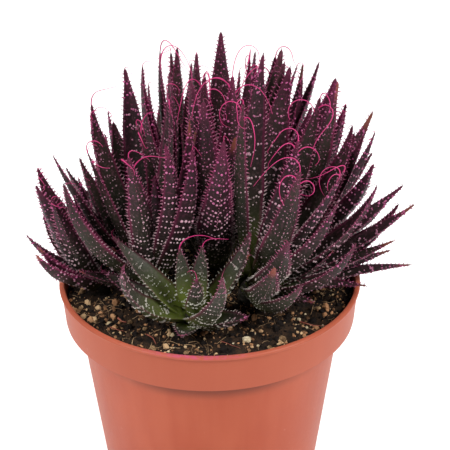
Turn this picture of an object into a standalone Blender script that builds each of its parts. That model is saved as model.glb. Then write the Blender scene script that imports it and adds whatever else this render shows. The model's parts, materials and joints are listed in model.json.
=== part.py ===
"""Potted lace aloe: a clump of eight rosettes growing in a thin plastic nursery pot of soil.

Metres, +Z up. The origin is on the ground, on the pot's axis, and -Y is the clump's front.
Every rosette is one solid: a short stem that stands in a plain hole in the soil, and its
toothed, keeled leaves, which are fused to it. The rosettes reach in between each other,
and a leaf that would touch the next rosette, the soil or the rim is bent until it is clear.
"""

import math
import random

import bmesh
import bpy
from mathutils import Matrix, Vector
from mathutils.bvhtree import BVHTree

MM = 0.001
GAP = 0.3 * MM
MERGE = 0.01 * MM

# Pot, a 12 cm nursery pot
POT_HEIGHT = 104 * MM
LIP_RADIUS = 60 * MM
LIP_WIDTH = 2.4 * MM
LIP_DEPTH = 1.6 * MM
BAND_RADIUS = 59.2 * MM
BAND_FOOT_RADIUS = 58.2 * MM
BAND_DEPTH = 16 * MM
SHOULDER_RADIUS = 53 * MM
FOOT_RADIUS = 42 * MM
FOOT_WIDTH = 4.5 * MM
HUB_RADIUS = 8 * MM
RECESS = 2 * MM
WALL = 1.3 * MM
STACKING_LINE = 25 * MM
STACKING_STEP = 0.4 * MM
CORNER = 0.6 * MM
DRAIN_RADIUS = 3.5 * MM
DRAIN_CIRCLE = 25 * MM
DRAIN_HOLES = 6
DRAIN_SIDES = 10
POT_STEPS = 40
SHARP_FROM = 35

# Soil, with a relief of two crossed waves, each bent by a slower one
SOIL_TOP = 98.6 * MM
SOIL_MOUND = 0.8 * MM
SOIL_RELIEF = 1.3 * MM
WAVE_X = 3.6 * MM
WAVE_Y = 3.3 * MM
SLOW_WAVE_X = 6.2 * MM
SLOW_WAVE_Y = 5.3 * MM
WAVE_BEND_X = 1.3
WAVE_BEND_Y = 1.7
SOIL_RINGS = 9
SOIL_STEPS = 36

# Stem of a rosette, along its axis from the soil's surface
STEM_RADIUS = 4.6 * MM
STEM_BELOW = 14 * MM
STEM_ABOVE = 4 * MM
STEM_TIP_RADIUS = 1.2 * MM
STEM_SIDES = 8
NECK_SHARE = 0.09

# How a rosette grows, from its youngest leaf (age 0) to its oldest (age 1)
GOLDEN_ANGLE = 137.508
SEED_TURN = 40
YOUNGEST_LEAN = 0.16
LEAN_EASE = 0.8
YOUNGEST_LENGTH = 0.74
LENGTH_GAIN = 1.08
LENGTH_LOSS = 1.1
YOUNGEST_WIDTH = 0.62
WIDTH_GAIN = 2.2
TIP_LEAN = 0.2
HEADING_SPREAD = 9
TIP_LEAN_SPREAD = (-14, 10)
LENGTH_SPREAD = (0.92, 1.05)
WIDTH_SPREAD = (0.93, 1.05)
SWING_SPREAD = 22
OUTLINE_SPREAD = (0.93, 1.04)
LISTED_OUTLINE = 1.12

# A leaf: its root on the stem, its outline, its V section and its teeth
ROOT_RADIUS = 2.2 * MM
ROOT_RISE = 4.4 * MM
CURL_EASE = 1.7
SWING_EASE = 1.5
BASE_SHARE_YOUNG = 0.42
BASE_SHARE_OLD = 0.74
TAPER = 2.2
EDGE_LIFT = 0.16
KEEL_SHARE = 0.72
KEEL_THINNING = 0.2
KEEL_LEAST = 0.6 * MM
TOOTH = 1.3 * MM
TOOTH_FADE = 0.6
TOOTH_PLACE = 0.65
STATIONS = (0.0, 0.28, 0.48, 0.67, 0.84, 1.0)
TOOTHED_FROM_YOUNG = 0.4
TOOTHED_FROM_OLD = 0.1

# The clump's outline, half an egg on the soil, which the leaf tips keep to
CLUMP_SIDE = 78 * MM
CLUMP_FRONT = 54 * MM
CLUMP_BACK = 76 * MM
CLUMP_HEIGHT = 104 * MM
CLUMP_SLANT = 0.2
OUTLINE_SLACK = 0.04
SHORTER = 0.96
NARROWER = 0.985
SPINE_STEPS = 28
LEAF_MARGIN = 0.5 * MM
SOIL_MARGIN = 0.8 * MM
RIM_MARGIN = 0.9 * MM
RIM_ZONE = 7.2 * MM
LEAVING = (0.1, 0.25, 0.4, 0.7)
BENDS = (1.0, 0.93, 0.86, 0.79, 0.72, 0.65, 0.58, 0.51, 0.44, 0.37, 0.3)
TURNS = (0, 8, -8, 16, -16, 24, -24, 34, -34)

# name, x, y of the stem in mm, tilt and the heading that it tilts towards, leaves,
# length and half-width of the longest leaf in mm, lean of the oldest leaf, seed
ROSETTES = (
    ("rosette_right", 15, -10, 12, -10, 24, 92, 7.4, 78, 214),
    ("rosette_middle", 2, 14, 4, 90, 20, 99, 7.2, 62, 201),
    ("rosette_left_middle", -23, -4, 10, 200, 20, 84, 6.8, 68, 185),
    ("rosette_left", -44, -3, 16, 180, 15, 60, 5.8, 84, 45),
    ("rosette_back", 5, 39, 10, 90, 15, 98, 7.0, 68, 89),
    ("rosette_back_left", -24, 31, 12, 110, 12, 84, 6.6, 66, 316),
    ("rosette_back_right", 32, 25, 18, 25, 16, 94, 6.8, 74, 313),
)
WIDEST_AT = 0.3
# The small offset at the front: its leaves' heading, lean at the base and at the tip,
# length and half-width in mm, and how far the heading swings along the leaf
FRONT = ("rosette_front", -7, -31, 4, -90, 38)
FRONT_LEAVES = (
    (130, 14, 2, 26, 4.4, 0),
    (50, 16, 0, 27, 4.4, 10),
    (290, 16, 4, 20, 3.8, 0),
    (198, 72, -14, 38, 6.2, -30),
    (15, 46, 12, 39, 5.8, 15),
    (-62, 54, -8, 35, 7.0, 30),
    (150, 54, 44, 41, 5.8, 6),
    (33, 58, 46, 31, 5.6, 6),
    (153, 80, 72, 39, 5.4, -6),
    (-15, 84, 80, 26, 6.2, 8),
    (240, 82, 78, 15, 4.8, 0),
)
LISTED_WIDEST_AT = 0.2
# Other leaves placed by hand, listed the same way: low ones at the front and sides, and
# five tall ones
LISTED_LEAVES = {
    "rosette_right": (
        (20, 34, 20, 19, 4.8, 8),
        (-13, 68, 74, 17, 4.6, 0),
        (-34, 66, 80, 27, 4.4, -6),
        (-12, 52, 26, 37, 5.0, 4),
        (-2, 58, 50, 58, 5.4, 4),
        (10, 68, 64, 56, 5.0, 4),
        (2, 70, 74, 48, 4.6, 0),
        (-8, 64, 82, 44, 4.4, -4),
        (15, 50, 38, 71, 6.2, 4),
        (3, 53, 38, 71, 6.2, 4),
        (6, 68, 80, 63, 4.6, 2),
        (40, 40, 16, 84, 6.0, 4),
        (120, 20, 10, 60, 6.0, 0),
    ),
    "rosette_middle": (
        (-60, 28, 16, 70, 7.2, 30),
        (-75, 48, 16, 64, 7.0, 30),
        (-110, 40, -6, 59, 6.0, 0),
    ),
    "rosette_left_middle": (
        (-140, 60, 44, 30, 4.8, 0),
        (-105, 66, 50, 30, 4.8, 10),
    ),
    "rosette_left": (
        (-110, 62, 60, 18, 4.2, 0),
        (-75, 66, 50, 26, 4.6, 10),
        (-150, 66, 30, 34, 4.6, -10),
    ),
}
# The turn in which listed leaves take their places; the grown ones follow from 0 to 1
FRONT_TURN = -1.0
LISTED_TURN = -0.5

COLOURS = {
    "pot": ((0.52, 0.13, 0.07, 1), 0.42),
    "soil": ((0.03, 0.02, 0.012, 1), 0.95),
    "rosette": ((0.075, 0.04, 0.055, 1), 0.5),
}


def clear_scene():
    for obj in list(bpy.data.objects):
        bpy.data.objects.remove(obj)


def material(name):
    """A plain Principled finish, one for each colour of the object."""
    made = bpy.data.materials.get(name)
    if made is None:
        colour, roughness = COLOURS[name]
        made = bpy.data.materials.new(name)
        made.use_nodes = True
        shader = made.node_tree.nodes["Principled BSDF"]
        shader.inputs["Base Color"].default_value = colour
        shader.inputs["Roughness"].default_value = roughness
        shader.inputs["Metallic"].default_value = 0.0
    return made


def collection(name):
    made = bpy.data.collections.new(name)
    bpy.context.scene.collection.children.link(made)
    return made


def new_object(name, mesh, home, finish=None):
    obj = bpy.data.objects.new(name, mesh)
    home.objects.link(obj)
    if finish:
        mesh.materials.append(material(finish))
    return obj


def mesh_from(name, bm):
    mesh = bpy.data.meshes.new(name)
    bm.to_mesh(mesh)
    bm.free()
    return mesh


def turned(name, profile, steps, home, finish):
    """Turns (radius, height) points, listed down the outer side, about the Z axis."""
    bm = bmesh.new()
    points = [bm.verts.new((radius, 0, height)) for radius, height in profile]
    for first, second in zip(points, points[1:]):
        bm.edges.new((first, second))
    obj = new_object(name, mesh_from(name, bm), home, finish)
    screw = obj.modifiers.new("turn", "SCREW")
    screw.steps = steps
    screw.render_steps = steps
    screw.use_merge_vertices = True
    screw.merge_threshold = MERGE
    return obj


def applied(obj):
    """Replaces the object's mesh by what its modifiers make of it."""
    graph = bpy.context.evaluated_depsgraph_get()
    mesh = bpy.data.meshes.new_from_object(obj.evaluated_get(graph))
    obj.modifiers.clear()
    obj.data = mesh
    return obj


def boolean(obj, others, operation, solver="EXACT"):
    """One Boolean with every object of a collection, applied; the others are then removed."""
    modifier = obj.modifiers.new("join", "BOOLEAN")
    modifier.operation = operation
    modifier.operand_type = "COLLECTION"
    modifier.collection = others
    modifier.solver = solver
    bpy.context.view_layer.update()
    applied(obj)
    for other in list(others.objects):
        bpy.data.objects.remove(other)
    bpy.data.collections.remove(others)
    return obj


def shells_of(bm):
    """The separate closed shells of a mesh, as lists of faces."""
    left = set(bm.faces)
    shells = []
    while left:
        shell = [left.pop()]
        for face in shell:
            for edge in face.edges:
                for near in edge.link_faces:
                    if near in left:
                        left.remove(near)
                        shell.append(near)
        shells.append(shell)
    return shells


def keep_outer_shell(obj):
    """Fills the hollows that fusing sealed, and drops loose scraps."""
    bm = bmesh.new()
    bm.from_mesh(obj.data)
    shells = shells_of(bm)
    shells.sort(key=lambda shell: sum(face.calc_area() for face in shell))
    spare = [face for shell in shells[:-1] for face in shell]
    bmesh.ops.delete(bm, geom=spare, context="FACES")
    bm.to_mesh(obj.data)
    bm.free()


def cylinder(name, radius, low, high, place, home, sides=16):
    """A closed cylinder between two heights of the frame that place gives."""
    bm = bmesh.new()
    bmesh.ops.create_cone(
        bm, cap_ends=True, segments=sides, radius1=radius, radius2=radius, depth=high - low
    )
    bmesh.ops.transform(
        bm, matrix=place @ Matrix.Translation((0, 0, (high + low) / 2)), verts=bm.verts
    )
    return new_object(name, mesh_from(name, bm), home)


def body_radius(height):
    """Outer radius of the pot's tapered body at a height."""
    share = height / (POT_HEIGHT - BAND_DEPTH)
    return FOOT_RADIUS + (SHOULDER_RADIUS - FOOT_RADIUS) * share


def pot_profile():
    """Half section of the pot: inside floor and wall, over the lip, and down the outside."""
    top = POT_HEIGHT
    shoulder = top - BAND_DEPTH
    line = top - STACKING_LINE
    floor = RECESS + WALL
    inside = [
        (0, floor),
        (body_radius(floor) - WALL, floor),
        (body_radius(shoulder) - WALL, shoulder + WALL),
        (BAND_FOOT_RADIUS - WALL, shoulder + 2 * WALL),
        (LIP_RADIUS - LIP_WIDTH, top - LIP_DEPTH),
    ]
    lip = [
        (LIP_RADIUS - LIP_WIDTH + CORNER, top),
        (LIP_RADIUS - CORNER, top),
        (LIP_RADIUS, top - CORNER),
        (BAND_RADIUS, top - LIP_DEPTH),
    ]
    outside = [
        (BAND_FOOT_RADIUS, shoulder + CORNER),
        (BAND_FOOT_RADIUS - CORNER, shoulder),
        (SHOULDER_RADIUS, shoulder),
        (body_radius(line), line),
        (body_radius(line) - STACKING_STEP, line - CORNER),
        (FOOT_RADIUS, CORNER),
        (FOOT_RADIUS - CORNER, 0),
    ]
    underside = [
        (FOOT_RADIUS - FOOT_WIDTH, 0),
        (FOOT_RADIUS - FOOT_WIDTH - CORNER, RECESS),
        (HUB_RADIUS + CORNER, RECESS),
        (HUB_RADIUS, 0),
        (0, 0),
    ]
    return inside + lip + outside + underside


def build_pot(home):
    pot = applied(turned("pot", pot_profile(), POT_STEPS, home, "pot"))
    drains = collection("drain_cutters")
    for index in range(DRAIN_HOLES):
        turn = math.tau * index / DRAIN_HOLES
        place = Matrix.Translation(
            (DRAIN_CIRCLE * math.cos(turn), DRAIN_CIRCLE * math.sin(turn), 0)
        )
        name = f"drain_{index}"
        cylinder(name, DRAIN_RADIUS, -WALL, RECESS + 3 * WALL, place, drains, DRAIN_SIDES)
    boolean(pot, drains, "DIFFERENCE")
    pot.data.shade_smooth()
    pot.data.set_sharp_from_angle(angle=math.radians(SHARP_FROM))


def soil_height(x, y):
    """The soil's surface: a low mound with a crumbled relief."""
    mound = SOIL_MOUND * (1 - (x * x + y * y) / LIP_RADIUS**2)
    across = math.sin(x / WAVE_X + WAVE_BEND_X * math.sin(y / SLOW_WAVE_Y))
    along = math.sin(y / WAVE_Y + WAVE_BEND_Y * math.sin(x / SLOW_WAVE_X))
    return SOIL_TOP + mound + SOIL_RELIEF / 2 * (across + along)


def build_soil(home, rosettes):
    """The filling of the pot, with a plain hole for every stem."""
    inset = WALL + 2 * GAP
    brim = LIP_RADIUS - LIP_WIDTH - 3 * GAP
    shoulder = POT_HEIGHT - BAND_DEPTH
    floor = RECESS + WALL + GAP
    surface = [(brim * ring / SOIL_RINGS, SOIL_TOP) for ring in range(SOIL_RINGS + 1)]
    side = [
        (BAND_FOOT_RADIUS - inset, shoulder + 3 * WALL),
        (body_radius(shoulder) - inset, shoulder + WALL),
        (body_radius(floor) - inset, floor),
        (0, floor),
    ]
    soil = applied(turned("soil", surface + side, SOIL_STEPS, home, "soil"))
    for vertex in soil.data.vertices:
        if vertex.co.z > SOIL_TOP - MERGE:
            vertex.co.z = soil_height(vertex.co.x, vertex.co.y)
    holes = collection("stem_holes")
    for rosette in rosettes:
        cylinder(
            f"hole_{rosette['name']}",
            STEM_RADIUS + GAP / math.cos(math.pi / STEM_SIDES),
            -STEM_BELOW - GAP,
            3 * STEM_ABOVE,
            rosette["frame"],
            holes,
            STEM_SIDES,
        )
    boolean(soil, holes, "DIFFERENCE")


def axis_frame(x, y, tilt, towards):
    """Frame of a rosette: its origin on the soil, and +Z along its axis."""
    heading = math.radians(towards)
    swing = Matrix.Rotation(math.radians(tilt), 4, (-math.sin(heading), math.cos(heading), 0))
    return Matrix.Translation((x * MM, y * MM, SOIL_TOP)) @ swing


def grown_leaves(count, length, half_width, oldest_lean, seed):
    """Leaves in the order of their age by the golden angle, from the heart outwards."""
    draw = random.Random(seed)
    leaves = []
    for index in range(count):
        age = index / (count - 1)
        turned = GOLDEN_ANGLE * index + SEED_TURN * seed
        lean = oldest_lean * (YOUNGEST_LEAN + (1 - YOUNGEST_LEAN) * age**LEAN_EASE)
        grown_length = length * MM * (YOUNGEST_LENGTH + age * (LENGTH_GAIN - LENGTH_LOSS * age))
        widening = (1 - YOUNGEST_WIDTH) * min(1.0, WIDTH_GAIN * age)
        grown_width = half_width * MM * (YOUNGEST_WIDTH + widening)
        leaves.append(
            {
                "heading": turned + draw.uniform(-HEADING_SPREAD, HEADING_SPREAD),
                "lean": lean,
                "tip_lean": lean * TIP_LEAN + draw.uniform(*TIP_LEAN_SPREAD),
                "length": grown_length * draw.uniform(*LENGTH_SPREAD),
                "half_width": grown_width * draw.uniform(*WIDTH_SPREAD),
                "swing": draw.uniform(-SWING_SPREAD, SWING_SPREAD),
                "outline": draw.uniform(*OUTLINE_SPREAD),
                "widest_at": WIDEST_AT,
                "neck": NECK_SHARE * length * MM,
                "turn": age,
                "age": age,
            }
        )
    return leaves


def listed_leaf(row, age, turn):
    """A hand-placed leaf, which takes its place before the grown ones."""
    heading, lean, tip_lean, length, half_width, swing = row
    return {
        "heading": heading,
        "lean": lean,
        "tip_lean": tip_lean,
        "length": length * MM,
        "half_width": half_width * MM,
        "swing": swing,
        "outline": LISTED_OUTLINE,
        "widest_at": LISTED_WIDEST_AT,
        "neck": NECK_SHARE * FRONT[-1] * MM,
        "turn": turn,
        "age": age,
    }


def plan_rosettes():
    rosettes = []
    name, x, y, tilt, towards, _ = FRONT
    frame = axis_frame(x, y, tilt, towards)
    oldest = len(FRONT_LEAVES) - 1
    leaves = [
        listed_leaf(row, index / oldest, FRONT_TURN) for index, row in enumerate(FRONT_LEAVES)
    ]
    rosettes.append({"name": name, "frame": frame, "leaves": leaves})
    for name, x, y, tilt, towards, count, length, half_width, lean, seed in ROSETTES:
        frame = axis_frame(x, y, tilt, towards)
        leaves = grown_leaves(count, length, half_width, lean, seed)
        leaves.extend(listed_leaf(row, 1.0, LISTED_TURN) for row in LISTED_LEAVES.get(name, ()))
        rosettes.append({"name": name, "frame": frame, "leaves": leaves})
    return rosettes


def by_age(leaf, young, old):
    return young + (old - young) * leaf["age"]


def width_share(leaf, along):
    """Half-width of a leaf as a share of its widest, from its root (0) to its tip (1)."""
    widest = leaf["widest_at"]
    if along < widest:
        root = by_age(leaf, BASE_SHARE_YOUNG, BASE_SHARE_OLD)
        return root + (1 - root) * along / widest
    return 1 - ((along - widest) / (1 - widest)) ** TAPER


def leaf_spine(frame, leaf, bend, turned_by):
    """Points, sides and upper-face normals along a leaf, from its root to its tip."""
    heading = math.radians(leaf["heading"] + turned_by)
    rise = by_age(leaf, ROOT_RISE + leaf["neck"], ROOT_RISE)
    point = Vector((ROOT_RADIUS * math.cos(heading), ROOT_RADIUS * math.sin(heading), rise))
    turn = frame.to_3x3()
    step = leaf["length"] / SPINE_STEPS
    spine = []
    for index in range(SPINE_STEPS + 1):
        along = index / SPINE_STEPS
        curl = (leaf["tip_lean"] - leaf["lean"]) * along**CURL_EASE
        lean = math.radians(leaf["lean"] + curl) * bend
        now = heading + math.radians(leaf["swing"]) * along**SWING_EASE
        outward = Vector((math.cos(now), math.sin(now), 0))
        side = Vector((-math.sin(now), math.cos(now), 0))
        direction = outward * math.sin(lean) + Vector((0, 0, math.cos(lean)))
        spine.append((frame @ point, turn @ side, turn @ direction.cross(side)))
        point = point + direction * step
    return spine


def at_station(spine, along):
    """Point, side and upper-face normal at a share of the leaf's length."""
    place = along * SPINE_STEPS
    low = min(int(place), SPINE_STEPS - 1)
    share = place - low
    return [first.lerp(second, share) for first, second in zip(spine[low], spine[low + 1])]


def tooth_reach(along):
    return TOOTH * (1 - TOOTH_FADE * along)


def section(spine, leaf, along, tooth=0.0, skin=0.0):
    """Left edge, right edge and keel of a leaf at a station, with the teeth's reach added."""
    point, side, normal = at_station(spine, along)
    half = leaf["half_width"] * width_share(leaf, along)
    keel = max((KEEL_SHARE - KEEL_THINNING * along) * half, KEEL_LEAST)
    lift = normal * (EDGE_LIFT * half + skin)
    reach = half + tooth + skin
    return point - side * reach + lift, point + side * reach + lift, point - normal * (keel + skin)


def plain_blade(spine, leaf, skin):
    """Corners and triangles of the leaf as a plain prism that holds its teeth, with a skin."""
    corners = []
    for along in STATIONS:
        corners.extend(section(spine, leaf, along, tooth_reach(along), skin))
    triangles = []
    for ring in range(len(STATIONS) - 1):
        for first, second in ((0, 1), (1, 2), (2, 0)):
            a, b = 3 * ring + first, 3 * ring + second
            triangles.extend(((a, b, b + 3), (a, b + 3, a + 3)))
    return corners, triangles


def tree_of(blades):
    """One search tree of several plain blades."""
    corners, triangles = [], []
    for blade_corners, blade_triangles in blades:
        start = len(corners)
        corners.extend(blade_corners)
        triangles.extend(tuple(start + corner for corner in face) for face in blade_triangles)
    return BVHTree.FromPolygons(corners, triangles, all_triangles=True)


def over_the_ground(corners):
    """True if the leaf, from where it leaves the stem, lies over the soil and over the rim."""
    root, first = corners[:3], corners[3:6]
    leaving = [start.lerp(end, share) for start, end in zip(root, first) for share in LEAVING]
    for corner in leaving + corners[3:]:
        if corner.z < soil_height(corner.x, corner.y) + SOIL_MARGIN:
            return False
        far = math.hypot(corner.x, corner.y) > LIP_RADIUS - RIM_ZONE
        if far and corner.z < POT_HEIGHT + RIM_MARGIN:
            return False
    return True


def bent_clear(frame, leaf, grown):
    """The leaf's spine at the largest lean that keeps it clear, or None if none does."""
    for bend in BENDS:
        for turned_by in TURNS:
            spine = leaf_spine(frame, leaf, bend, turned_by)
            corners, triangles = plain_blade(spine, leaf, LEAF_MARGIN)
            if not over_the_ground(corners):
                continue
            tree = tree_of([(corners, triangles)])
            if not any(tree.overlap(other) for other in grown):
                return spine
    return None


def past_outline(point):
    """How far out a point is, as a share of the clump's outline in its direction."""
    depth = CLUMP_BACK if point.y > 0 else CLUMP_FRONT
    across = (point.x - CLUMP_SLANT * max(point.y, 0)) / CLUMP_SIDE
    height = (point.z - SOIL_TOP) / CLUMP_HEIGHT
    return math.sqrt(across**2 + (point.y / depth) ** 2 + height**2)


def shorten(leaf):
    leaf["length"] *= SHORTER
    leaf["half_width"] *= NARROWER


def kept_in_outline(frame, leaf, grown):
    """The leaf's spine, bent clear, with its tip in the clump's outline, or None."""
    while past_outline(leaf_spine(frame, leaf, 1.0, 0)[-1][0]) > leaf["outline"]:
        shorten(leaf)
    spine = bent_clear(frame, leaf, grown)
    while spine and past_outline(spine[-1][0]) > leaf["outline"] + OUTLINE_SLACK:
        shorten(leaf)
        spine = bent_clear(frame, leaf, grown)
    return spine


def grow(rosettes):
    """Bends every leaf clear of all the other rosettes: the front offset's, then the youngest."""
    blades = {rosette["name"]: [stem_column(rosette)] for rosette in rosettes}
    trees = {name: tree_of(grown) for name, grown in blades.items()}
    waiting = []
    for index, rosette in enumerate(rosettes):
        waiting.extend((leaf["turn"], index, leaf) for leaf in rosette["leaves"])
    waiting.sort(key=lambda entry: entry[:2])
    for _, index, leaf in waiting:
        own = rosettes[index]["name"]
        others = [tree for name, tree in trees.items() if name != own]
        leaf["spine"] = kept_in_outline(rosettes[index]["frame"], leaf, others)
        if leaf["spine"]:
            blades[own].append(plain_blade(leaf["spine"], leaf, 0.0))
            trees[own] = tree_of(blades[own])
    for rosette in rosettes:
        kept = [leaf for leaf in rosette["leaves"] if leaf["spine"]]
        print(rosette["name"], len(kept), "of", len(rosette["leaves"]), "leaves")
        rosette["leaves"] = kept


def leaf_mesh(name, spine, leaf):
    """A keeled blade in V section, with one tooth a side between two stations."""
    bm = bmesh.new()
    rings = []
    for along in STATIONS[:-1]:
        rings.append([bm.verts.new(corner) for corner in section(spine, leaf, along)])
    tip = bm.verts.new(at_station(spine, 1.0)[0])
    bm.faces.new(rings[0])
    for index, (first, second) in enumerate(zip(rings, rings[1:])):
        (left, right, keel), (next_left, next_right, next_keel) = first, second
        if STATIONS[index] < by_age(leaf, TOOTHED_FROM_YOUNG, TOOTHED_FROM_OLD):
            bm.faces.new((next_left, next_right, right, left))
            bm.faces.new((next_keel, next_left, left, keel))
            bm.faces.new((next_right, next_keel, keel, right))
            continue
        along = STATIONS[index] + (STATIONS[index + 1] - STATIONS[index]) * TOOTH_PLACE
        left_tooth, right_tooth, _ = section(spine, leaf, along, tooth_reach(along))
        left_tooth = bm.verts.new(left_tooth)
        right_tooth = bm.verts.new(right_tooth)
        for face in (
            (left, left_tooth, right_tooth),
            (left, right_tooth, right),
            (left_tooth, next_left, next_right),
            (left_tooth, next_right, right_tooth),
            (keel, left_tooth, left),
            (keel, next_keel, left_tooth),
            (next_keel, next_left, left_tooth),
            (keel, right, right_tooth),
            (keel, right_tooth, next_keel),
            (next_keel, right_tooth, next_right),
        ):
            bm.faces.new(face)
    left, right, keel = rings[-1]
    for face in ((left, tip, right), (keel, tip, left), (right, tip, keel)):
        bm.faces.new(face)
    bmesh.ops.recalc_face_normals(bm, faces=bm.faces)
    bmesh.ops.triangulate(bm, faces=bm.faces)
    return mesh_from(name, bm)


def stem_column(rosette):
    """Corners and triangles of the stem: a column with a cone above it for the leaves."""
    levels = (
        (STEM_RADIUS, -STEM_BELOW),
        (STEM_RADIUS, STEM_ABOVE),
        (STEM_TIP_RADIUS, STEM_ABOVE + rosette["leaves"][0]["neck"]),
    )
    corners = []
    for radius, height in levels:
        for index in range(STEM_SIDES):
            turn = math.tau * index / STEM_SIDES
            corners.append(
                rosette["frame"] @ Vector((radius * math.cos(turn), radius * math.sin(turn), height))
            )
    triangles = []
    for index in range(STEM_SIDES):
        following = (index + 1) % STEM_SIDES
        for level in range(len(levels) - 1):
            a, b = level * STEM_SIDES + index, level * STEM_SIDES + following
            triangles.extend(((a, b, b + STEM_SIDES), (a, b + STEM_SIDES, a + STEM_SIDES)))
    top = STEM_SIDES * (len(levels) - 1)
    for index in range(1, STEM_SIDES - 1):
        triangles.append((0, index + 1, index))
        triangles.append((top, top + index, top + index + 1))
    return corners, triangles


def stem(rosette, home):
    mesh = bpy.data.meshes.new(rosette["name"])
    corners, triangles = stem_column(rosette)
    mesh.from_pydata(corners, [], triangles)
    return new_object(rosette["name"], mesh, home, "rosette")


def build_rosette(home, rosette):
    """The stem with all of the rosette's leaves fused to it."""
    body = stem(rosette, home)
    blades = collection("blades")
    for index, leaf in enumerate(rosette["leaves"]):
        name = f"{rosette['name']}_leaf_{index}"
        new_object(name, leaf_mesh(name, leaf["spine"], leaf), blades, "rosette")
    boolean(body, blades, "UNION", "MANIFOLD")
    keep_outer_shell(body)
    print(rosette["name"], len(body.data.polygons), "faces")


def main():
    clear_scene()
    home = collection("potted_lace_aloe")
    rosettes = plan_rosettes()
    grow(rosettes)
    build_pot(home)
    build_soil(home, rosettes)
    for rosette in rosettes:
        build_rosette(home, rosette)


main()
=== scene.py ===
# %% [markdown]
# # A potted lace aloe, from plain solids to a finished look
#
# The solids of this plant are already modelled and packed: a thin plastic pot, its soil and
# eight rosettes of leaves. This lesson loads them as a fixed frame and dresses them. Each
# coarse rosette gives way to smooth leaves with soft teeth, white bumps and curling threads,
# the soil gets its crumbs, and the pot its moulded skin. Run the cells in order.

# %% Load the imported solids
import json
import math
import random

import bmesh
import bpy
from mathutils import Matrix, Vector
from mathutils.bvhtree import BVHTree

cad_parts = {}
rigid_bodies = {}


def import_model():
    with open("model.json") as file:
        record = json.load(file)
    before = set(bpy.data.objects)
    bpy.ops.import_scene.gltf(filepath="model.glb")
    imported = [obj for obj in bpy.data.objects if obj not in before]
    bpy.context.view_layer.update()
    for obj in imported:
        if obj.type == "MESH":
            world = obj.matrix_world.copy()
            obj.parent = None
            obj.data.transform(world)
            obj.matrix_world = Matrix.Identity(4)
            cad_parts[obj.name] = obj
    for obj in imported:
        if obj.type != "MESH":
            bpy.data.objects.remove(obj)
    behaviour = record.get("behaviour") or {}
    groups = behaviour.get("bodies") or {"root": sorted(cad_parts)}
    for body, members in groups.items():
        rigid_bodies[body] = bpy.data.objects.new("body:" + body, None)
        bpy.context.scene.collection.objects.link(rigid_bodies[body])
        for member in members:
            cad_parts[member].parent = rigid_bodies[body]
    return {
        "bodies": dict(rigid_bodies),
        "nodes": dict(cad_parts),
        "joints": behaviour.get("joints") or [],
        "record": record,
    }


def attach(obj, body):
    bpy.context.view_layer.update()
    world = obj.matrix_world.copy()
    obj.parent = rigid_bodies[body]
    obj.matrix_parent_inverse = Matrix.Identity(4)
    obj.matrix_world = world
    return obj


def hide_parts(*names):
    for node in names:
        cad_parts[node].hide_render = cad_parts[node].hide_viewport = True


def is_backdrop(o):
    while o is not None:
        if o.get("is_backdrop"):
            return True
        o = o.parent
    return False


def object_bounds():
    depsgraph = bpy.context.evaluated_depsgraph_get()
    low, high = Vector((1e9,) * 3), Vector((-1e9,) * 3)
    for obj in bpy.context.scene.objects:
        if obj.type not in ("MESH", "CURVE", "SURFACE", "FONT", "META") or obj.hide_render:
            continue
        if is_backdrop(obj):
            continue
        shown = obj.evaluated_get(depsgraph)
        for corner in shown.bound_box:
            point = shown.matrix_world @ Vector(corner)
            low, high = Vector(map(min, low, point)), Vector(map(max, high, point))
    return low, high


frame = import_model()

MM = 0.001
CAD_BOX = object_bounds()
scene = bpy.context.scene
print("solids:", ", ".join(sorted(frame["nodes"])))
print("box in mm:", [[round(value / MM, 1) for value in corner] for corner in CAD_BOX])

# %% [markdown]
# ## Camera
#
# A camera could be placed by eye and nudged until the picture fits. Here its place was worked
# out from the rim of the pot: a circle of known size shows as an ellipse, and the ellipse's
# two widths and its middle give the camera's height angle, distance and aim. The lens is long,
# so the rim looks almost as wide at the back as at the front.

# %% Camera
POT_HEIGHT = 104 * MM
RIM_CENTRE = Vector((0, 0, POT_HEIGHT))
VIEW_ELEVATION = math.radians(30.42)
VIEW_DISTANCE = 534.8 * MM
AIM_DOWN = math.radians(28.32)
AIM_ASIDE = math.radians(0.761)
ROLL = math.radians(-0.19)
LENS = 106.893
SENSOR = 36


def new_object(name, data):
    made = bpy.data.objects.new(name, data)
    scene.collection.objects.link(made)
    return made


def add_camera():
    camera = new_object("camera", bpy.data.cameras.new("camera"))
    camera.data.lens, camera.data.sensor_width = LENS, SENSOR
    back = Vector((0, -math.cos(VIEW_ELEVATION), math.sin(VIEW_ELEVATION)))
    level = math.cos(AIM_DOWN)
    forward = Vector(
        (math.sin(AIM_ASIDE) * level, math.cos(AIM_ASIDE) * level, -math.sin(AIM_DOWN))
    )
    right = forward.cross(Vector((0, 0, 1))).normalized()
    up = right.cross(forward)
    rolled_right = right * math.cos(ROLL) + up * math.sin(ROLL)
    rolled_up = up * math.cos(ROLL) - right * math.sin(ROLL)
    place = Matrix((rolled_right, rolled_up, -forward)).transposed().to_4x4()
    place.translation = RIM_CENTRE + back * VIEW_DISTANCE
    camera.matrix_world = place
    scene.camera = camera
    return camera


print("camera stands at", [round(value / MM) for value in add_camera().matrix_world.translation])

# %% [markdown]
# ## Writing node trees
#
# Materials and Geometry Nodes are both trees of nodes. Linking them by hand takes many lines,
# so two small classes do it: a Recipe adds a node with its settings and inputs in one call,
# and a Wire is an output that can be used in sums. Each operator on a Wire adds a Math node,
# so that 1 - mask * 0.5 reads as it would on paper.


# %% A socket that can be calculated with
MATH = "ShaderNodeMath"
VECTOR_MATH = "ShaderNodeVectorMath"


def math_node(operation, swapped=False):
    """A method that adds a Math node to its wire's tree."""

    def method(self, *others):
        values = (*others, self) if swapped else (self, *others)
        return self.recipe.node(MATH, *values, operation=operation)

    return method


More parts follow.
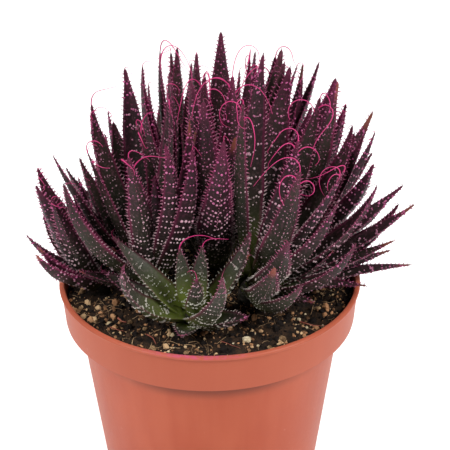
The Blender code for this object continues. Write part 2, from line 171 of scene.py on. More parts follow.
class Wire:
    """An output socket; + - * ** < > and abs() on it add Math nodes to its tree."""

    __add__, __radd__ = math_node("ADD"), math_node("ADD", swapped=True)
    __sub__, __rsub__ = math_node("SUBTRACT"), math_node("SUBTRACT", swapped=True)
    __mul__, __rmul__ = math_node("MULTIPLY"), math_node("MULTIPLY", swapped=True)
    __lt__, __gt__ = math_node("LESS_THAN"), math_node("GREATER_THAN")
    __pow__, __abs__ = math_node("POWER"), math_node("ABSOLUTE")

    def __init__(self, recipe, socket):
        self.recipe, self.socket = recipe, socket

    def output(self, name):
        """Another output of the same node."""
        found = [s for s in self.socket.node.outputs if s.enabled and s.name == name]
        return Wire(self.recipe, found[0])


# %% A tree written node by node
class Recipe:
    """Adds nodes to one tree, a material's or a Geometry Nodes group's."""

    def __init__(self, tree):
        self.tree = tree

    def feed(self, socket, value):
        if isinstance(value, Wire):
            self.tree.links.new(value.socket, socket)
        elif socket.type == "RGBA":
            socket.default_value = (*value, 1)
        else:
            socket.default_value = value

    def node(self, kind, *values, **rest):
        """A node; names in lower case are its settings, and the others its inputs.

        An input's name has _ for each space, and values without a name go in their order.
        """
        made = self.tree.nodes.new(kind)
        inputs = {name.replace("_", " "): rest[name] for name in rest if not name.islower()}
        for name in filter(str.islower, rest):
            setattr(made, name, rest[name])
        for socket, value in zip(made.inputs, values):
            self.feed(socket, value)
        for name, value in inputs.items():
            self.feed([s for s in made.inputs if s.enabled and s.name == name][0], value)
        shown = [s for s in made.outputs if s.enabled]
        return Wire(self, shown[0]) if shown else None

    def attribute(self, name):
        """A number that the mesh carries on its points."""
        return self.node("ShaderNodeAttribute", attribute_name=name).output("Fac")

    def blend(self, share, first, second):
        """The first colour where share is 0, and the second where it is 1."""
        return self.node("ShaderNodeMix", data_type="RGBA", Factor=share, A=first, B=second)

    def ease(self, value, low, high):
        """0 below low, 1 above high, and a soft step between them."""
        inputs = {"Value": value, "From_Min": low, "From_Max": high}
        return self.node("ShaderNodeMapRange", interpolation_type="SMOOTHSTEP", **inputs)

    def noise(self, scale, detail=2.0, place=None):
        """Cloudy noise from 0 to 1, on the object's own coordinates unless a place is given."""
        where = place or self.node("ShaderNodeTexCoord").output("Object")
        return self.node("ShaderNodeTexNoise", Vector=where, Scale=scale, Detail=detail)


# %% A new material
def finish(name, specular, paint, *look):
    """A material; paint returns its colour and roughness, and its relief if it has one."""
    material = bpy.data.materials.new(name)
    material.use_nodes = True
    recipe = Recipe(material.node_tree)
    sockets = recipe.tree.nodes["Principled BSDF"].inputs
    sockets["Specular IOR Level"].default_value = specular
    colour, rough, *relief = paint(recipe, *look)
    recipe.feed(sockets["Base Color"], colour)
    recipe.feed(sockets["Roughness"], rough)
    if relief:
        height, strength, depth = relief
        bumped = recipe.node("ShaderNodeBump", Height=height, Strength=strength, Distance=depth)
        recipe.feed(sockets["Normal"], bumped)
    return material


# %% [markdown]
# ## A Geometry Nodes tree in one call
#
# A tree that repeats something takes a guide mesh and a few sizes, and ends in Realize
# Instances and Set Material. The modifier only has to run once: the plain mesh that it makes
# is kept, and the modifier goes, because copies that exist only in a modifier are lost when
# the model is exported.


# %% Trees that repeat things
def new_tree(name, sizes):
    """An empty Geometry Nodes group with named number inputs, its recipe and its inputs."""
    tree = bpy.data.node_groups.new(name, "GeometryNodeTree")
    for way in ("INPUT", "OUTPUT"):
        tree.interface.new_socket("Geometry", in_out=way, socket_type="NodeSocketGeometry")
    for label, value in sizes.items():
        kind = "NodeSocketInt" if isinstance(value, int) else "NodeSocketFloat"
        tree.interface.new_socket(label, in_out="INPUT", socket_type=kind).default_value = value
    recipe = Recipe(tree)
    start = tree.nodes.new("NodeGroupInput")
    return recipe, {socket.name: Wire(recipe, socket) for socket in start.outputs if socket.name}


def dressed(recipe, geometry, material, smooth=True):
    """Realizes a branch's copies and gives them their shading and their material."""
    real = recipe.node("GeometryNodeRealizeInstances", Geometry=geometry)
    shaded = recipe.node("GeometryNodeSetShadeSmooth", Geometry=real, Shade_Smooth=smooth)
    return recipe.node("GeometryNodeSetMaterial", Geometry=shaded, Material=material)


def end_tree(recipe, *branches):
    joined = recipe.node("GeometryNodeJoinGeometry")
    for branch in branches:
        recipe.tree.links.new(branch.socket, joined.socket.node.inputs[0])
    recipe.feed(recipe.tree.nodes.new("NodeGroupOutput").inputs[0], joined)
    return recipe.tree


def named(recipe, name, kind="FLOAT"):
    """A named attribute of the geometry that passes."""
    return recipe.node("GeometryNodeInputNamedAttribute", data_type=kind, Name=name)


def spread(recipe, low, high, seed, kind="FLOAT"):
    """A random number for each point, or a vector where low and high are vectors."""
    return recipe.node("FunctionNodeRandomValue", data_type=kind, Min=low, Max=high, Seed=seed)


def jitter(recipe, reach, seed):
    return spread(recipe, (-reach,) * 3, (reach,) * 3, seed, "FLOAT_VECTOR")


# %% Running a tree and settling a piece
def evaluated_mesh(made):
    """A plain copy of an object's mesh as its modifiers make it."""
    graph = bpy.context.evaluated_depsgraph_get()
    return bpy.data.meshes.new_from_object(made.evaluated_get(graph))


def grown(name, guide, tree, **values):
    """The plain mesh object that a tree makes from a guide mesh, with its modifier removed."""
    made = new_object(name, guide)
    modifier = made.modifiers.new("grow", "NODES")
    modifier.node_group = tree
    for item in tree.interface.items_tree:
        if item.name in values:
            modifier[item.identifier] = values[item.name]
    mesh = evaluated_mesh(made)
    made.modifiers.remove(modifier)
    made.data = mesh
    return made


def settle(piece, node):
    """The piece rides on the one body, and stands for a coarse solid."""
    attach(piece, "root")
    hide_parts(node)
    piece.data.calc_loop_triangles()
    print(piece.name, len(piece.data.loop_triangles), "triangles")


# %% [markdown]
# ## The rule that the leaves grow by
#
# Leaves of a rosette follow the golden angle, each turned 137.5 degrees from the one before,
# and lean out further the older they are. They could be placed by hand, but the solids were
# grown by this rule with fixed seeds, so the same lines here give fine leaves that lie exactly
# where the coarse ones do. The sizes come first.

# %% Sizes of the soil, the stems and the leaves
GOLDEN_ANGLE = 137.508
LIP_RADIUS = 60 * MM
SOIL_TOP = 98.6 * MM
SOIL_MOUND = 0.8 * MM
SOIL_RELIEF = 1.3 * MM
WAVE_X = 3.6 * MM
WAVE_Y = 3.3 * MM
SLOW_WAVE_X = 6.2 * MM
SLOW_WAVE_Y = 5.3 * MM
WAVE_BEND_X = 1.3
WAVE_BEND_Y = 1.7
STEM_RADIUS = 4.6 * MM
STEM_BELOW = 14 * MM
STEM_ABOVE = 4 * MM
STEM_TIP_RADIUS = 1.2 * MM
STEM_SIDES = 8
NECK_SHARE = 0.09
SEED_TURN = 40
YOUNGEST_LEAN = 0.16
LEAN_EASE = 0.8
YOUNGEST_LENGTH = 0.74
LENGTH_GAIN = 1.08
LENGTH_LOSS = 1.1
YOUNGEST_WIDTH = 0.62
WIDTH_GAIN = 2.2
TIP_LEAN = 0.2
HEADING_SPREAD = 9
TIP_LEAN_SPREAD = (-14, 10)
LENGTH_SPREAD = (0.92, 1.05)
WIDTH_SPREAD = (0.93, 1.05)
SWING_SPREAD = 22
OUTLINE_SPREAD = (0.93, 1.04)
LISTED_OUTLINE = 1.12
ROOT_RADIUS = 2.2 * MM
ROOT_RISE = 4.4 * MM
CURL_EASE = 1.7
SWING_EASE = 1.5
BASE_SHARE_YOUNG = 0.42
BASE_SHARE_OLD = 0.74
TAPER = 2.2
EDGE_LIFT = 0.16
KEEL_SHARE = 0.72
KEEL_THINNING = 0.2
KEEL_LEAST = 0.6 * MM
TOOTH = 1.3 * MM
TOOTH_FADE = 0.6
STATIONS = (0.0, 0.28, 0.48, 0.67, 0.84, 1.0)
CLUMP_SIDE = 78 * MM
CLUMP_FRONT = 54 * MM
CLUMP_BACK = 76 * MM
CLUMP_HEIGHT = 104 * MM
CLUMP_SLANT = 0.2
OUTLINE_SLACK = 0.04
SHORTER = 0.96
NARROWER = 0.985
SPINE_STEPS = 28
LEAF_MARGIN = 0.5 * MM
SOIL_MARGIN = 0.8 * MM
RIM_MARGIN = 0.9 * MM
RIM_ZONE = 7.2 * MM
LEAVING = (0.1, 0.25, 0.4, 0.7)
BENDS = (1.0, 0.93, 0.86, 0.79, 0.72, 0.65, 0.58, 0.51, 0.44, 0.37, 0.3)
TURNS = (0, 8, -8, 16, -16, 24, -24, 34, -34)
WIDEST_AT = 0.3
LISTED_WIDEST_AT = 0.2
# The turn in which listed leaves take their places; the grown ones follow from 0 to 1
FRONT_TURN = -1.0
LISTED_TURN = -0.5

# %% The rosettes and the listed leaves
# name, x, y of the stem in mm, tilt and the heading that it tilts towards, leaves,
# length and half-width of the longest leaf in mm, lean of the oldest leaf, seed
ROSETTES = (
    ("rosette_right", 15, -10, 12, -10, 24, 92, 7.4, 78, 214),
    ("rosette_middle", 2, 14, 4, 90, 20, 99, 7.2, 62, 201),
    ("rosette_left_middle", -23, -4, 10, 200, 20, 84, 6.8, 68, 185),
    ("rosette_left", -44, -3, 16, 180, 15, 60, 5.8, 84, 45),
    ("rosette_back", 5, 39, 10, 90, 15, 98, 7.0, 68, 89),
    ("rosette_back_left", -24, 31, 12, 110, 12, 84, 6.6, 66, 316),
    ("rosette_back_right", 32, 25, 18, 25, 16, 94, 6.8, 74, 313),
)
# The small offset at the front, with its longest leaf's length in mm
FRONT = ("rosette_front", -7, -31, 4, -90)
FRONT_LENGTH = 38
# Its leaves' heading, lean at the base and at the tip, length and half-width in mm, and how
# far the heading swings along the leaf
FRONT_LEAVES = (
    (130, 14, 2, 26, 4.4, 0), (50, 16, 0, 27, 4.4, 10), (290, 16, 4, 20, 3.8, 0),
    (198, 72, -14, 38, 6.2, -30), (15, 46, 12, 39, 5.8, 15), (-62, 54, -8, 35, 7.0, 30),
    (150, 54, 44, 41, 5.8, 6), (33, 58, 46, 31, 5.6, 6), (153, 80, 72, 39, 5.4, -6),
    (-15, 84, 80, 26, 6.2, 8), (240, 82, 78, 15, 4.8, 0),
)
# Other leaves, listed the same way: low ones at the front and sides, and five tall ones
LISTED_LEAVES = {
    "rosette_right": (
        (20, 34, 20, 19, 4.8, 8), (-13, 68, 74, 17, 4.6, 0), (-34, 66, 80, 27, 4.4, -6),
        (-12, 52, 26, 37, 5.0, 4), (-2, 58, 50, 58, 5.4, 4), (10, 68, 64, 56, 5.0, 4),
        (2, 70, 74, 48, 4.6, 0), (-8, 64, 82, 44, 4.4, -4), (15, 50, 38, 71, 6.2, 4),
        (3, 53, 38, 71, 6.2, 4), (6, 68, 80, 63, 4.6, 2), (40, 40, 16, 84, 6.0, 4),
        (120, 20, 10, 60, 6.0, 0),
    ),
    "rosette_middle": (
        (-60, 28, 16, 70, 7.2, 30), (-75, 48, 16, 64, 7.0, 30), (-110, 40, -6, 59, 6.0, 0),
    ),
    "rosette_left_middle": (
        (-140, 60, 44, 30, 4.8, 0), (-105, 66, 50, 30, 4.8, 10),
    ),
    "rosette_left": (
        (-110, 62, 60, 18, 4.2, 0), (-75, 66, 50, 26, 4.6, 10), (-150, 66, 30, 34, 4.6, -10),
    ),
}


# %% [markdown]
# A rosette is planned as a list of leaves, each a small dictionary of angles and sizes. The
# order of the random draws matters: the same seed and order give the same plant every time.


# %% Planning the leaves
def axis_frame(x, y, tilt, towards):
    """Frame of a rosette: its origin on the soil, and +Z along its axis."""
    heading = math.radians(towards)
    swing = Matrix.Rotation(math.radians(tilt), 4, (-math.sin(heading), math.cos(heading), 0))
    return Matrix.Translation((x * MM, y * MM, SOIL_TOP)) @ swing


def grown_leaves(count, length, half_width, oldest_lean, seed):
    """Leaves in the order of their age by the golden angle, from the heart outwards."""
    draw = random.Random(seed)
    leaves = []
    for index in range(count):
        age = index / (count - 1)
        turned = GOLDEN_ANGLE * index + SEED_TURN * seed
        lean = oldest_lean * (YOUNGEST_LEAN + (1 - YOUNGEST_LEAN) * age**LEAN_EASE)
        grown_length = length * MM * (YOUNGEST_LENGTH + age * (LENGTH_GAIN - LENGTH_LOSS * age))
        widening = (1 - YOUNGEST_WIDTH) * min(1.0, WIDTH_GAIN * age)
        grown_width = half_width * MM * (YOUNGEST_WIDTH + widening)
        leaves.append(
            {
                "heading": turned + draw.uniform(-HEADING_SPREAD, HEADING_SPREAD),
                "lean": lean,
                "tip_lean": lean * TIP_LEAN + draw.uniform(*TIP_LEAN_SPREAD),
                "length": grown_length * draw.uniform(*LENGTH_SPREAD),
                "half_width": grown_width * draw.uniform(*WIDTH_SPREAD),
                "swing": draw.uniform(-SWING_SPREAD, SWING_SPREAD),
                "outline": draw.uniform(*OUTLINE_SPREAD),
                "widest_at": WIDEST_AT,
                "neck": NECK_SHARE * length * MM,
                "turn": age,
                "age": age,
            }
        )
    return leaves


def listed_leaf(row, age, turn):
    """A listed leaf, which takes its place before the grown ones."""
    leaf = dict(zip(("heading", "lean", "tip_lean", "length", "half_width", "swing"), row))
    leaf.update(length=leaf["length"] * MM, half_width=leaf["half_width"] * MM)
    leaf.update(outline=LISTED_OUTLINE, widest_at=LISTED_WIDEST_AT)
    return {**leaf, "neck": NECK_SHARE * FRONT_LENGTH * MM, "turn": turn, "age": age}


def plan_rosettes():
    oldest = len(FRONT_LEAVES) - 1
    leaves = [listed_leaf(row, i / oldest, FRONT_TURN) for i, row in enumerate(FRONT_LEAVES)]
    plans = [(*FRONT, leaves)]
    for name, x, y, tilt, towards, *growth in ROSETTES:
        listed = [listed_leaf(row, 1.0, LISTED_TURN) for row in LISTED_LEAVES.get(name, ())]
        plans.append((name, x, y, tilt, towards, grown_leaves(*growth) + listed))
    return [
        {"name": name, "frame": axis_frame(*place), "leaves": leaves}
        for name, *place, leaves in plans
    ]


# %% [markdown]
# A leaf follows a spine: points, side directions and normals from its root to its tip. Its
# outline widens to about a third of its length and then tapers. Across the spine lies a V
# section with a keel below. The coarse blade made of these sections is only used to find room.


# %% The spine and the plain blade of a leaf
def soil_height(x, y):
    """The soil's surface: a low mound with a crumbled relief."""
    mound = SOIL_MOUND * (1 - (x * x + y * y) / LIP_RADIUS**2)
    across = math.sin(x / WAVE_X + WAVE_BEND_X * math.sin(y / SLOW_WAVE_Y))
    along = math.sin(y / WAVE_Y + WAVE_BEND_Y * math.sin(x / SLOW_WAVE_X))
    return SOIL_TOP + mound + SOIL_RELIEF / 2 * (across + along)


def by_age(leaf, young, old):
    return young + (old - young) * leaf["age"]


def width_share(leaf, along):
    """Half-width of a leaf as a share of its widest, from its root (0) to its tip (1)."""
    widest = leaf["widest_at"]
    if along < widest:
        root = by_age(leaf, BASE_SHARE_YOUNG, BASE_SHARE_OLD)
        return root + (1 - root) * along / widest
    return 1 - ((along - widest) / (1 - widest)) ** TAPER


def leaf_spine(frame, leaf, bend, turned_by):
    """Points, sides and upper-face normals along a leaf, from its root to its tip."""
    heading = math.radians(leaf["heading"] + turned_by)
    rise = by_age(leaf, ROOT_RISE + leaf["neck"], ROOT_RISE)
    point = Vector((ROOT_RADIUS * math.cos(heading), ROOT_RADIUS * math.sin(heading), rise))
    turn = frame.to_3x3()
    step = leaf["length"] / SPINE_STEPS
    spine = []
    for index in range(SPINE_STEPS + 1):
        along = index / SPINE_STEPS
        curl = (leaf["tip_lean"] - leaf["lean"]) * along**CURL_EASE
        lean = math.radians(leaf["lean"] + curl) * bend
        now = heading + math.radians(leaf["swing"]) * along**SWING_EASE
        outward = Vector((math.cos(now), math.sin(now), 0))
        side = Vector((-math.sin(now), math.cos(now), 0))
        direction = outward * math.sin(lean) + Vector((0, 0, math.cos(lean)))
        spine.append((frame @ point, turn @ side, turn @ direction.cross(side)))
        point = point + direction * step
    return spine


def at_station(spine, along):
    """Point, side and upper-face normal at a share of the leaf's length."""
    place = along * SPINE_STEPS
    low = min(int(place), SPINE_STEPS - 1)
    share = place - low
    return [first.lerp(second, share) for first, second in zip(spine[low], spine[low + 1])]


def plain_blade(spine, leaf, skin):
    """Corners and triangles of the leaf as a plain prism that holds its teeth, with a skin."""
    corners = []
    for along in STATIONS:
        point, side, normal = at_station(spine, along)
        half = leaf["half_width"] * width_share(leaf, along)
        keel = max((KEEL_SHARE - KEEL_THINNING * along) * half, KEEL_LEAST)
        lift = normal * (EDGE_LIFT * half + skin)
        reach = half + TOOTH * (1 - TOOTH_FADE * along) + skin
        corners.append(point - side * reach + lift)
        corners.append(point + side * reach + lift)
        corners.append(point - normal * (keel + skin))
    triangles = []
    for ring in range(len(STATIONS) - 1):
        for first, second in ((0, 1), (1, 2), (2, 0)):
            a, b = 3 * ring + first, 3 * ring + second
            triangles.extend(((a, b, b + 3), (a, b + 3, a + 3)))
    return corners, triangles


# %% [markdown]
# Rosettes in a crowded pot reach in between each other. A leaf that would cross a leaf of
# another rosette, the soil or the rim is raised and turned in small steps until it is free.
# Blender's BVHTree finds overlapping triangles fast enough to try all of them in seconds.


# %% Growing the leaves past each other
def turns(count):
    """The angles of equal steps round a circle."""
    return [math.tau * index / count for index in range(count)]


def stem_column(rosette):
    """Corners and triangles of the stem: a column with a cone above it for the leaves."""
    levels = (
        (STEM_RADIUS, -STEM_BELOW),
        (STEM_RADIUS, STEM_ABOVE),
        (STEM_TIP_RADIUS, STEM_ABOVE + rosette["leaves"][0]["neck"]),
    )
    corners = [
        rosette["frame"] @ Vector((radius * math.cos(turn), radius * math.sin(turn), height))
        for radius, height in levels
        for turn in turns(STEM_SIDES)
    ]
    triangles = []
    for index in range(STEM_SIDES):
        following = (index + 1) % STEM_SIDES
        for level in range(len(levels) - 1):
            a, b = level * STEM_SIDES + index, level * STEM_SIDES + following
            triangles.extend(((a, b, b + STEM_SIDES), (a, b + STEM_SIDES, a + STEM_SIDES)))
    top = STEM_SIDES * (len(levels) - 1)
    for index in range(1, STEM_SIDES - 1):
        triangles.append((0, index + 1, index))
        triangles.append((top, top + index, top + index + 1))
    return corners, triangles


def tree_of(blades):
    """One search tree of several plain blades."""
    corners, triangles = [], []
    for blade_corners, blade_triangles in blades:
        start = len(corners)
        corners.extend(blade_corners)
        triangles.extend(tuple(start + corner for corner in face) for face in blade_triangles)
    return BVHTree.FromPolygons(corners, triangles, all_triangles=True)


def over_the_ground(corners):
    """True if the leaf, from where it leaves the stem, lies over the soil and over the rim."""
    root, first = corners[:3], corners[3:6]
    leaving = [start.lerp(end, share) for start, end in zip(root, first) for share in LEAVING]
    for corner in leaving + corners[3:]:
        if corner.z < soil_height(corner.x, corner.y) + SOIL_MARGIN:
            return False
        far = math.hypot(corner.x, corner.y) > LIP_RADIUS - RIM_ZONE
        if far and corner.z < POT_HEIGHT + RIM_MARGIN:
            return False
    return True


def bent_clear(frame, leaf, grown_trees):
    """The leaf's spine at the largest lean that keeps it clear, or None if none does."""
    for bend in BENDS:
        for turned_by in TURNS:
            spine = leaf_spine(frame, leaf, bend, turned_by)
            corners, triangles = plain_blade(spine, leaf, LEAF_MARGIN)
            if over_the_ground(corners):
                tree = tree_of([(corners, triangles)])
                if not any(tree.overlap(other) for other in grown_trees):
                    return spine
    return None


def past_outline(point):
    """How far out a point is, as a share of the clump's outline in its direction."""
    depth = CLUMP_BACK if point.y > 0 else CLUMP_FRONT
    across = (point.x - CLUMP_SLANT * max(point.y, 0)) / CLUMP_SIDE
    height = (point.z - SOIL_TOP) / CLUMP_HEIGHT
    return math.sqrt(across**2 + (point.y / depth) ** 2 + height**2)


def shorten(leaf):
    leaf["length"] *= SHORTER
    leaf["half_width"] *= NARROWER


def kept_in_outline(frame, leaf, grown_trees):
    """The leaf's spine, bent clear, with its tip in the clump's outline, or None."""
    while past_outline(leaf_spine(frame, leaf, 1.0, 0)[-1][0]) > leaf["outline"]:
        shorten(leaf)
    spine = bent_clear(frame, leaf, grown_trees)
    while spine and past_outline(spine[-1][0]) > leaf["outline"] + OUTLINE_SLACK:
        shorten(leaf)
        spine = bent_clear(frame, leaf, grown_trees)
    return spine


def grow(rosettes):
    """Bends every leaf clear of all the other rosettes: the listed leaves, then the youngest."""
    blades = {rosette["name"]: [stem_column(rosette)] for rosette in rosettes}
    trees = {name: tree_of(grown_blades) for name, grown_blades in blades.items()}
    waiting = []
    for index, rosette in enumerate(rosettes):
        waiting.extend((leaf["turn"], index, leaf) for leaf in rosette["leaves"])
    waiting.sort(key=lambda entry: entry[:2])
    for _, index, leaf in waiting:
        own = rosettes[index]["name"]
        others = [tree for name, tree in trees.items() if name != own]
        leaf["spine"] = kept_in_outline(rosettes[index]["frame"], leaf, others)
        if leaf["spine"]:
            blades[own].append(plain_blade(leaf["spine"], leaf, 0.0))
            trees[own] = tree_of(blades[own])
    for rosette in rosettes:
        rosette["leaves"] = [leaf for leaf in rosette["leaves"] if leaf["spine"]]


rosettes = plan_rosettes()
grow(rosettes)
print({rosette["name"]: len(rosette["leaves"]) for rosette in rosettes}, "leaves")

# %% [markdown]
# ## Smooth leaves
#
# A real leaf of this plant is fleshy: a shallow channel on its upper face, a rounded back with
# a keel that sharpens towards the tip, and a thin margin. Subdividing the coarse prism would
# round its margins away, so the surface is laid out as a grid instead: rings of 16 points
# round the section, and 28 rings along the spine. Each point keeps how far along and across
# it lies, and the material paints by these numbers.

# %% Section and rings of a smooth leaf
FACE_POINTS = (-1.0, -0.74, -0.38, 0.0, 0.38, 0.74, 1.0)
BACK_POINTS = (0.94, 0.76, 0.52, 0.26, 0.0, -0.26, -0.52, -0.76, -0.94)
CHANNEL = 0.3
KEEL_ROUND = 2.0
KEEL_SHARP = 1.25
THINNEST = 0.2 * MM
WIDTH_WINDOW = (-0.1, -0.05, 0.0, 0.05, 0.1)
MARGIN_WAVE = 0.025
# how fast each wave runs along the leaf, and how far chance shifts it
MARGIN_WAVES = ((17, 9), (41, 5))
LEAF_RINGS = 28
RING_EASE = 0.92
LAST_RING = 0.985
FACE_TILT = 0.3
KEEL_FACING = 1.1
KEEL_TILT = 0.6


def smooth_share(leaf, along):
    """The outline with its corner at the widest place rounded, and a faint wave in it."""
    places = [min(max(along + shift, 0.0), 1.0) for shift in WIDTH_WINDOW]
    rounded = sum(width_share(leaf, place) for place in places) / len(places)
    wave = sum(math.sin(pace * along + shift * leaf["chance"]) for pace, shift in MARGIN_WAVES)
    return rounded * (1 + MARGIN_WAVE * wave)


def surface_point(leaf, along, across, back):
    """A point on the leaf: share of the length, share of the half-width, and which face."""
    point, side, normal = at_station(leaf["spine"], along)
    half = leaf["half_width"] * smooth_share(leaf, along)
    edge = EDGE_LIFT * half
    if back:
        keel = max((KEEL_SHARE - KEEL_THINNING * along) * half, THINNEST)
        power = KEEL_ROUND + (KEEL_SHARP - KEEL_ROUND) * along
        height = edge - (keel + edge) * (1 - abs(across) ** power)
    else:
        height = edge - CHANNEL * half * (1 - across * across)
    return point + side * (half * across) + normal * height


def face_direction(leaf, along, across, back):
    """Which way the surface faces there, seen from inside the leaf."""
    _, side, normal = at_station(leaf["spine"], along)
    if back:
        return (side * across - normal * (KEEL_FACING - KEEL_TILT * abs(across))).normalized()
    return (normal - side * (FACE_TILT * across)).normalized()


# %% One mesh of all the leaves of a rosette
SECTION = [(across, 0) for across in FACE_POINTS] + [(across, 1) for across in BACK_POINTS]
POINT_VALUES = ("along", "across", "chance", "green", "dry")


def add_leaf(leaf, corners, faces, values):
    """Adds a leaf's points and faces, and what its points carry."""
    start, size = len(corners), len(SECTION)
    about = {name: leaf[name] for name in ("chance", "green", "dry")}
    for ring in range(LEAF_RINGS):
        along = LAST_RING * (ring / (LEAF_RINGS - 1)) ** RING_EASE
        for across, back in SECTION:
            corners.append(surface_point(leaf, along, across, back))
            values.append({"along": along, "across": across, **about})
    tip = len(corners)
    corners.append(leaf["spine"][-1][0])
    values.append({"along": 1.0, "across": 0.0, **about})
    last = tip - size
    faces.append([start + index for index in range(size)])
    pairs = [(index, (index + 1) % size) for index in range(size)]
    for row in range(start, last, size):
        faces.extend([row + a, row + a + size, row + b + size, row + b] for a, b in pairs)
    faces.extend([last + a, tip, last + b] for a, b in pairs)


def mesh_of(name, corners, faces, values):
    """A smooth mesh with its faces turned outwards and its numbers on its points."""
    mesh = bpy.data.meshes.new(name)
    mesh.from_pydata(corners, [], faces)
    for label in POINT_VALUES:
        attribute = mesh.attributes.new(label, "FLOAT", "POINT")
        attribute.data.foreach_set("value", [row[label] for row in values])
    bm = bmesh.new()
    bm.from_mesh(mesh)
    bmesh.ops.recalc_face_normals(bm, faces=bm.faces)
    bm.to_mesh(mesh)
    bm.free()
    mesh.shade_smooth()
    return mesh


# %% [markdown]
# ## Leaf skin
#
# The skin runs from fresh green at the base through a dull dark green to wine red at the tip, with
# magenta margins and fine freckles. The small offset and the low leaves at the front are the
# greenest. Painted shade darkens the low part of each leaf, deep in its rosette, and random patches
# over the clump, where crowded leaves shade each other. A painted texture would need a UV layout
# for over a hundred leaves. Since every point knows its place on its own leaf, a few soft steps on
# those numbers do the same, and cloudy noise breaks them up.

# %% Leaf skin material
GREEN = (0.13, 0.175, 0.018)
GREY_GREEN = (0.048, 0.054, 0.036)
DULL = (0.016, 0.009, 0.009)
OLIVE = (0.016, 0.024, 0.010)
WINE = (0.038, 0.004, 0.015)
SHADE = (0.007, 0.009, 0.005)
DEEP_SHADE = (0.006, 0.004, 0.005)
MAGENTA = (0.23, 0.013, 0.078)
GRAIN_TINT = (0.14, 0.07, 0.085)
PALE_FRECKLE = (0.17, 0.13, 0.12)
MAGENTA_FRECKLE = (0.30, 0.035, 0.13)
DRY_TIP = (0.26, 0.075, 0.05)


def leaf_paint(recipe):
    along = recipe.attribute("along")
    across = abs(recipe.attribute("across"))
    green = recipe.attribute("green")
    chance = recipe.attribute("chance")
    cloud = recipe.noise(130.0, 3.0)
    grain = recipe.noise(1500.0, 2.0)
    dull = recipe.blend(green, recipe.blend(chance, OLIVE, DULL), GREY_GREEN)
    # Painted shade: the skin starts dark low on each leaf, deep in its rosette, wherever the green
    # base does not cover it
    colour = recipe.blend(recipe.ease(along + green * 0.6, 0.2, 0.7), SHADE, dull)
    base = (1 - recipe.ease(along, 0.05, 0.3 + green * 0.4)) * (0.1 + green * 0.9)
    colour = recipe.blend(base, colour, GREEN)
    reddened = recipe.ease(along + cloud * 0.5 + across * 0.25 - green * 0.55, 0.45, 1.25)
    colour = recipe.blend(reddened * (0.4 + chance * 0.6) * (1 - green * 0.5), colour, WINE)
    margin = recipe.ease(across, 0.78, 1.0) * recipe.ease(along, 0.02, 0.45)
    colour = recipe.blend(margin * (0.75 - green * 0.4), colour, MAGENTA)
    glow = recipe.ease(along, 0.84, 1.0) * (0.15 + chance * 0.5)
    colour = recipe.blend(glow, colour, MAGENTA)
    tip = recipe.ease(along, 0.88, 0.95) * recipe.attribute("dry")
    colour = recipe.blend(tip, colour, DRY_TIP)
    colour = recipe.blend(grain * 0.08, colour, GRAIN_TINT)
    freckles = recipe.ease(recipe.noise(850.0, 3.0), 0.5, 0.68)
    freckle = recipe.blend(reddened, PALE_FRECKLE, MAGENTA_FRECKLE)
    colour = recipe.blend(freckles * 0.3, colour, freckle)
    # Painted shade: random patches over the clump darken towards DEEP_SHADE, standing for the
    # shadows between crowded leaves
    dim = recipe.ease(recipe.noise(37.0, 1.0) + chance * 0.3, 0.5, 0.85) * (1 - green * 0.7)
    colour = recipe.blend(dim * 0.55, colour, DEEP_SHADE)
    return colour, 0.36 + cloud * 0.16 + grain * 0.1, grain * 0.5 + cloud, 0.5, 0.3 * MM


LEAF_SKIN = finish("leaf_skin", 0.15, leaf_paint)
print("leaf skin has", len(LEAF_SKIN.node_tree.nodes), "nodes")

# %% The stems
STEM_RINGS = 9
STEM_POINTS = 24
STEM_WRINKLE = 0.35 * MM
SCARS_ROUND = 3
SCAR_TURN = 2.4
# As dark as the leaves are at this share of their length, in their painted shade
STEM_PAINTED_AS = 0.35


def add_stem(rosette, corners, faces, values):
    """A short round stem with leaf scars, from the soil up into the leaf bases."""
    start = len(corners)
    top = STEM_ABOVE + rosette["leaves"][0]["neck"]
    for ring in range(STEM_RINGS):
        height = -STEM_BELOW / 2 + (top + STEM_BELOW / 2) * (ring / (STEM_RINGS - 1))
        over = max(0.0, (height - STEM_ABOVE) / (top - STEM_ABOVE))
        radius = STEM_RADIUS + (STEM_TIP_RADIUS - STEM_RADIUS) * over
        for turn in turns(STEM_POINTS):
            scar = STEM_WRINKLE * math.sin(SCARS_ROUND * turn + SCAR_TURN * ring) * (1 - over)
            place = ((radius + scar) * math.cos(turn), (radius + scar) * math.sin(turn), height)
            corners.append(rosette["frame"] @ Vector(place))
            values.append({**dict.fromkeys(POINT_VALUES, 0.0), "along": STEM_PAINTED_AS})
    last = len(corners) - STEM_POINTS
    for a in range(start, last, STEM_POINTS):
        b = a + STEM_POINTS
        for index in range(STEM_POINTS):
            following = (index + 1) % STEM_POINTS
            faces.append([a + index, a + following, b + following, b + index])
    faces.append([start + index for index in reversed(range(STEM_POINTS))])
    faces.append([last + index for index in range(STEM_POINTS)])


# %% Build the leaves of every rosette
GREENNESS = {"rosette_front": 1.0, "rosette_right": 0.3, "rosette_left_middle": 0.25}
LITTLE_GREEN = 0.12
LISTED_GREENNESS = {"rosette_middle": 0.45, "rosette_right": 0.4}
LOW_FRONT_GREEN = 0.85
GREEN_SPREAD = (0.75, 1.0)
DRY_SHARE = 0.22
LISTED_DRY_SHARE = 0.5
# A low front tip lies in front of LOW_Y, under LOW_Z and within LOW_X, each with a soft edge
LOW_Y, LOW_Y_EDGE = 5 * MM, 20 * MM
LOW_Z, LOW_Z_EDGE = 168 * MM, 30 * MM
LOW_X, LOW_X_EDGE = 60 * MM, 15 * MM


def low_front(tip):
    """1 for a leaf tip low at the front of the clump, and 0 high up, aside or behind."""
    forward = (LOW_Y - tip.y) / LOW_Y_EDGE
    low = (LOW_Z - tip.z) / LOW_Z_EDGE
    near = (LOW_X - abs(tip.x)) / LOW_X_EDGE
    return math.prod(min(max(share, 0.0), 1.0) for share in (forward, low, near))


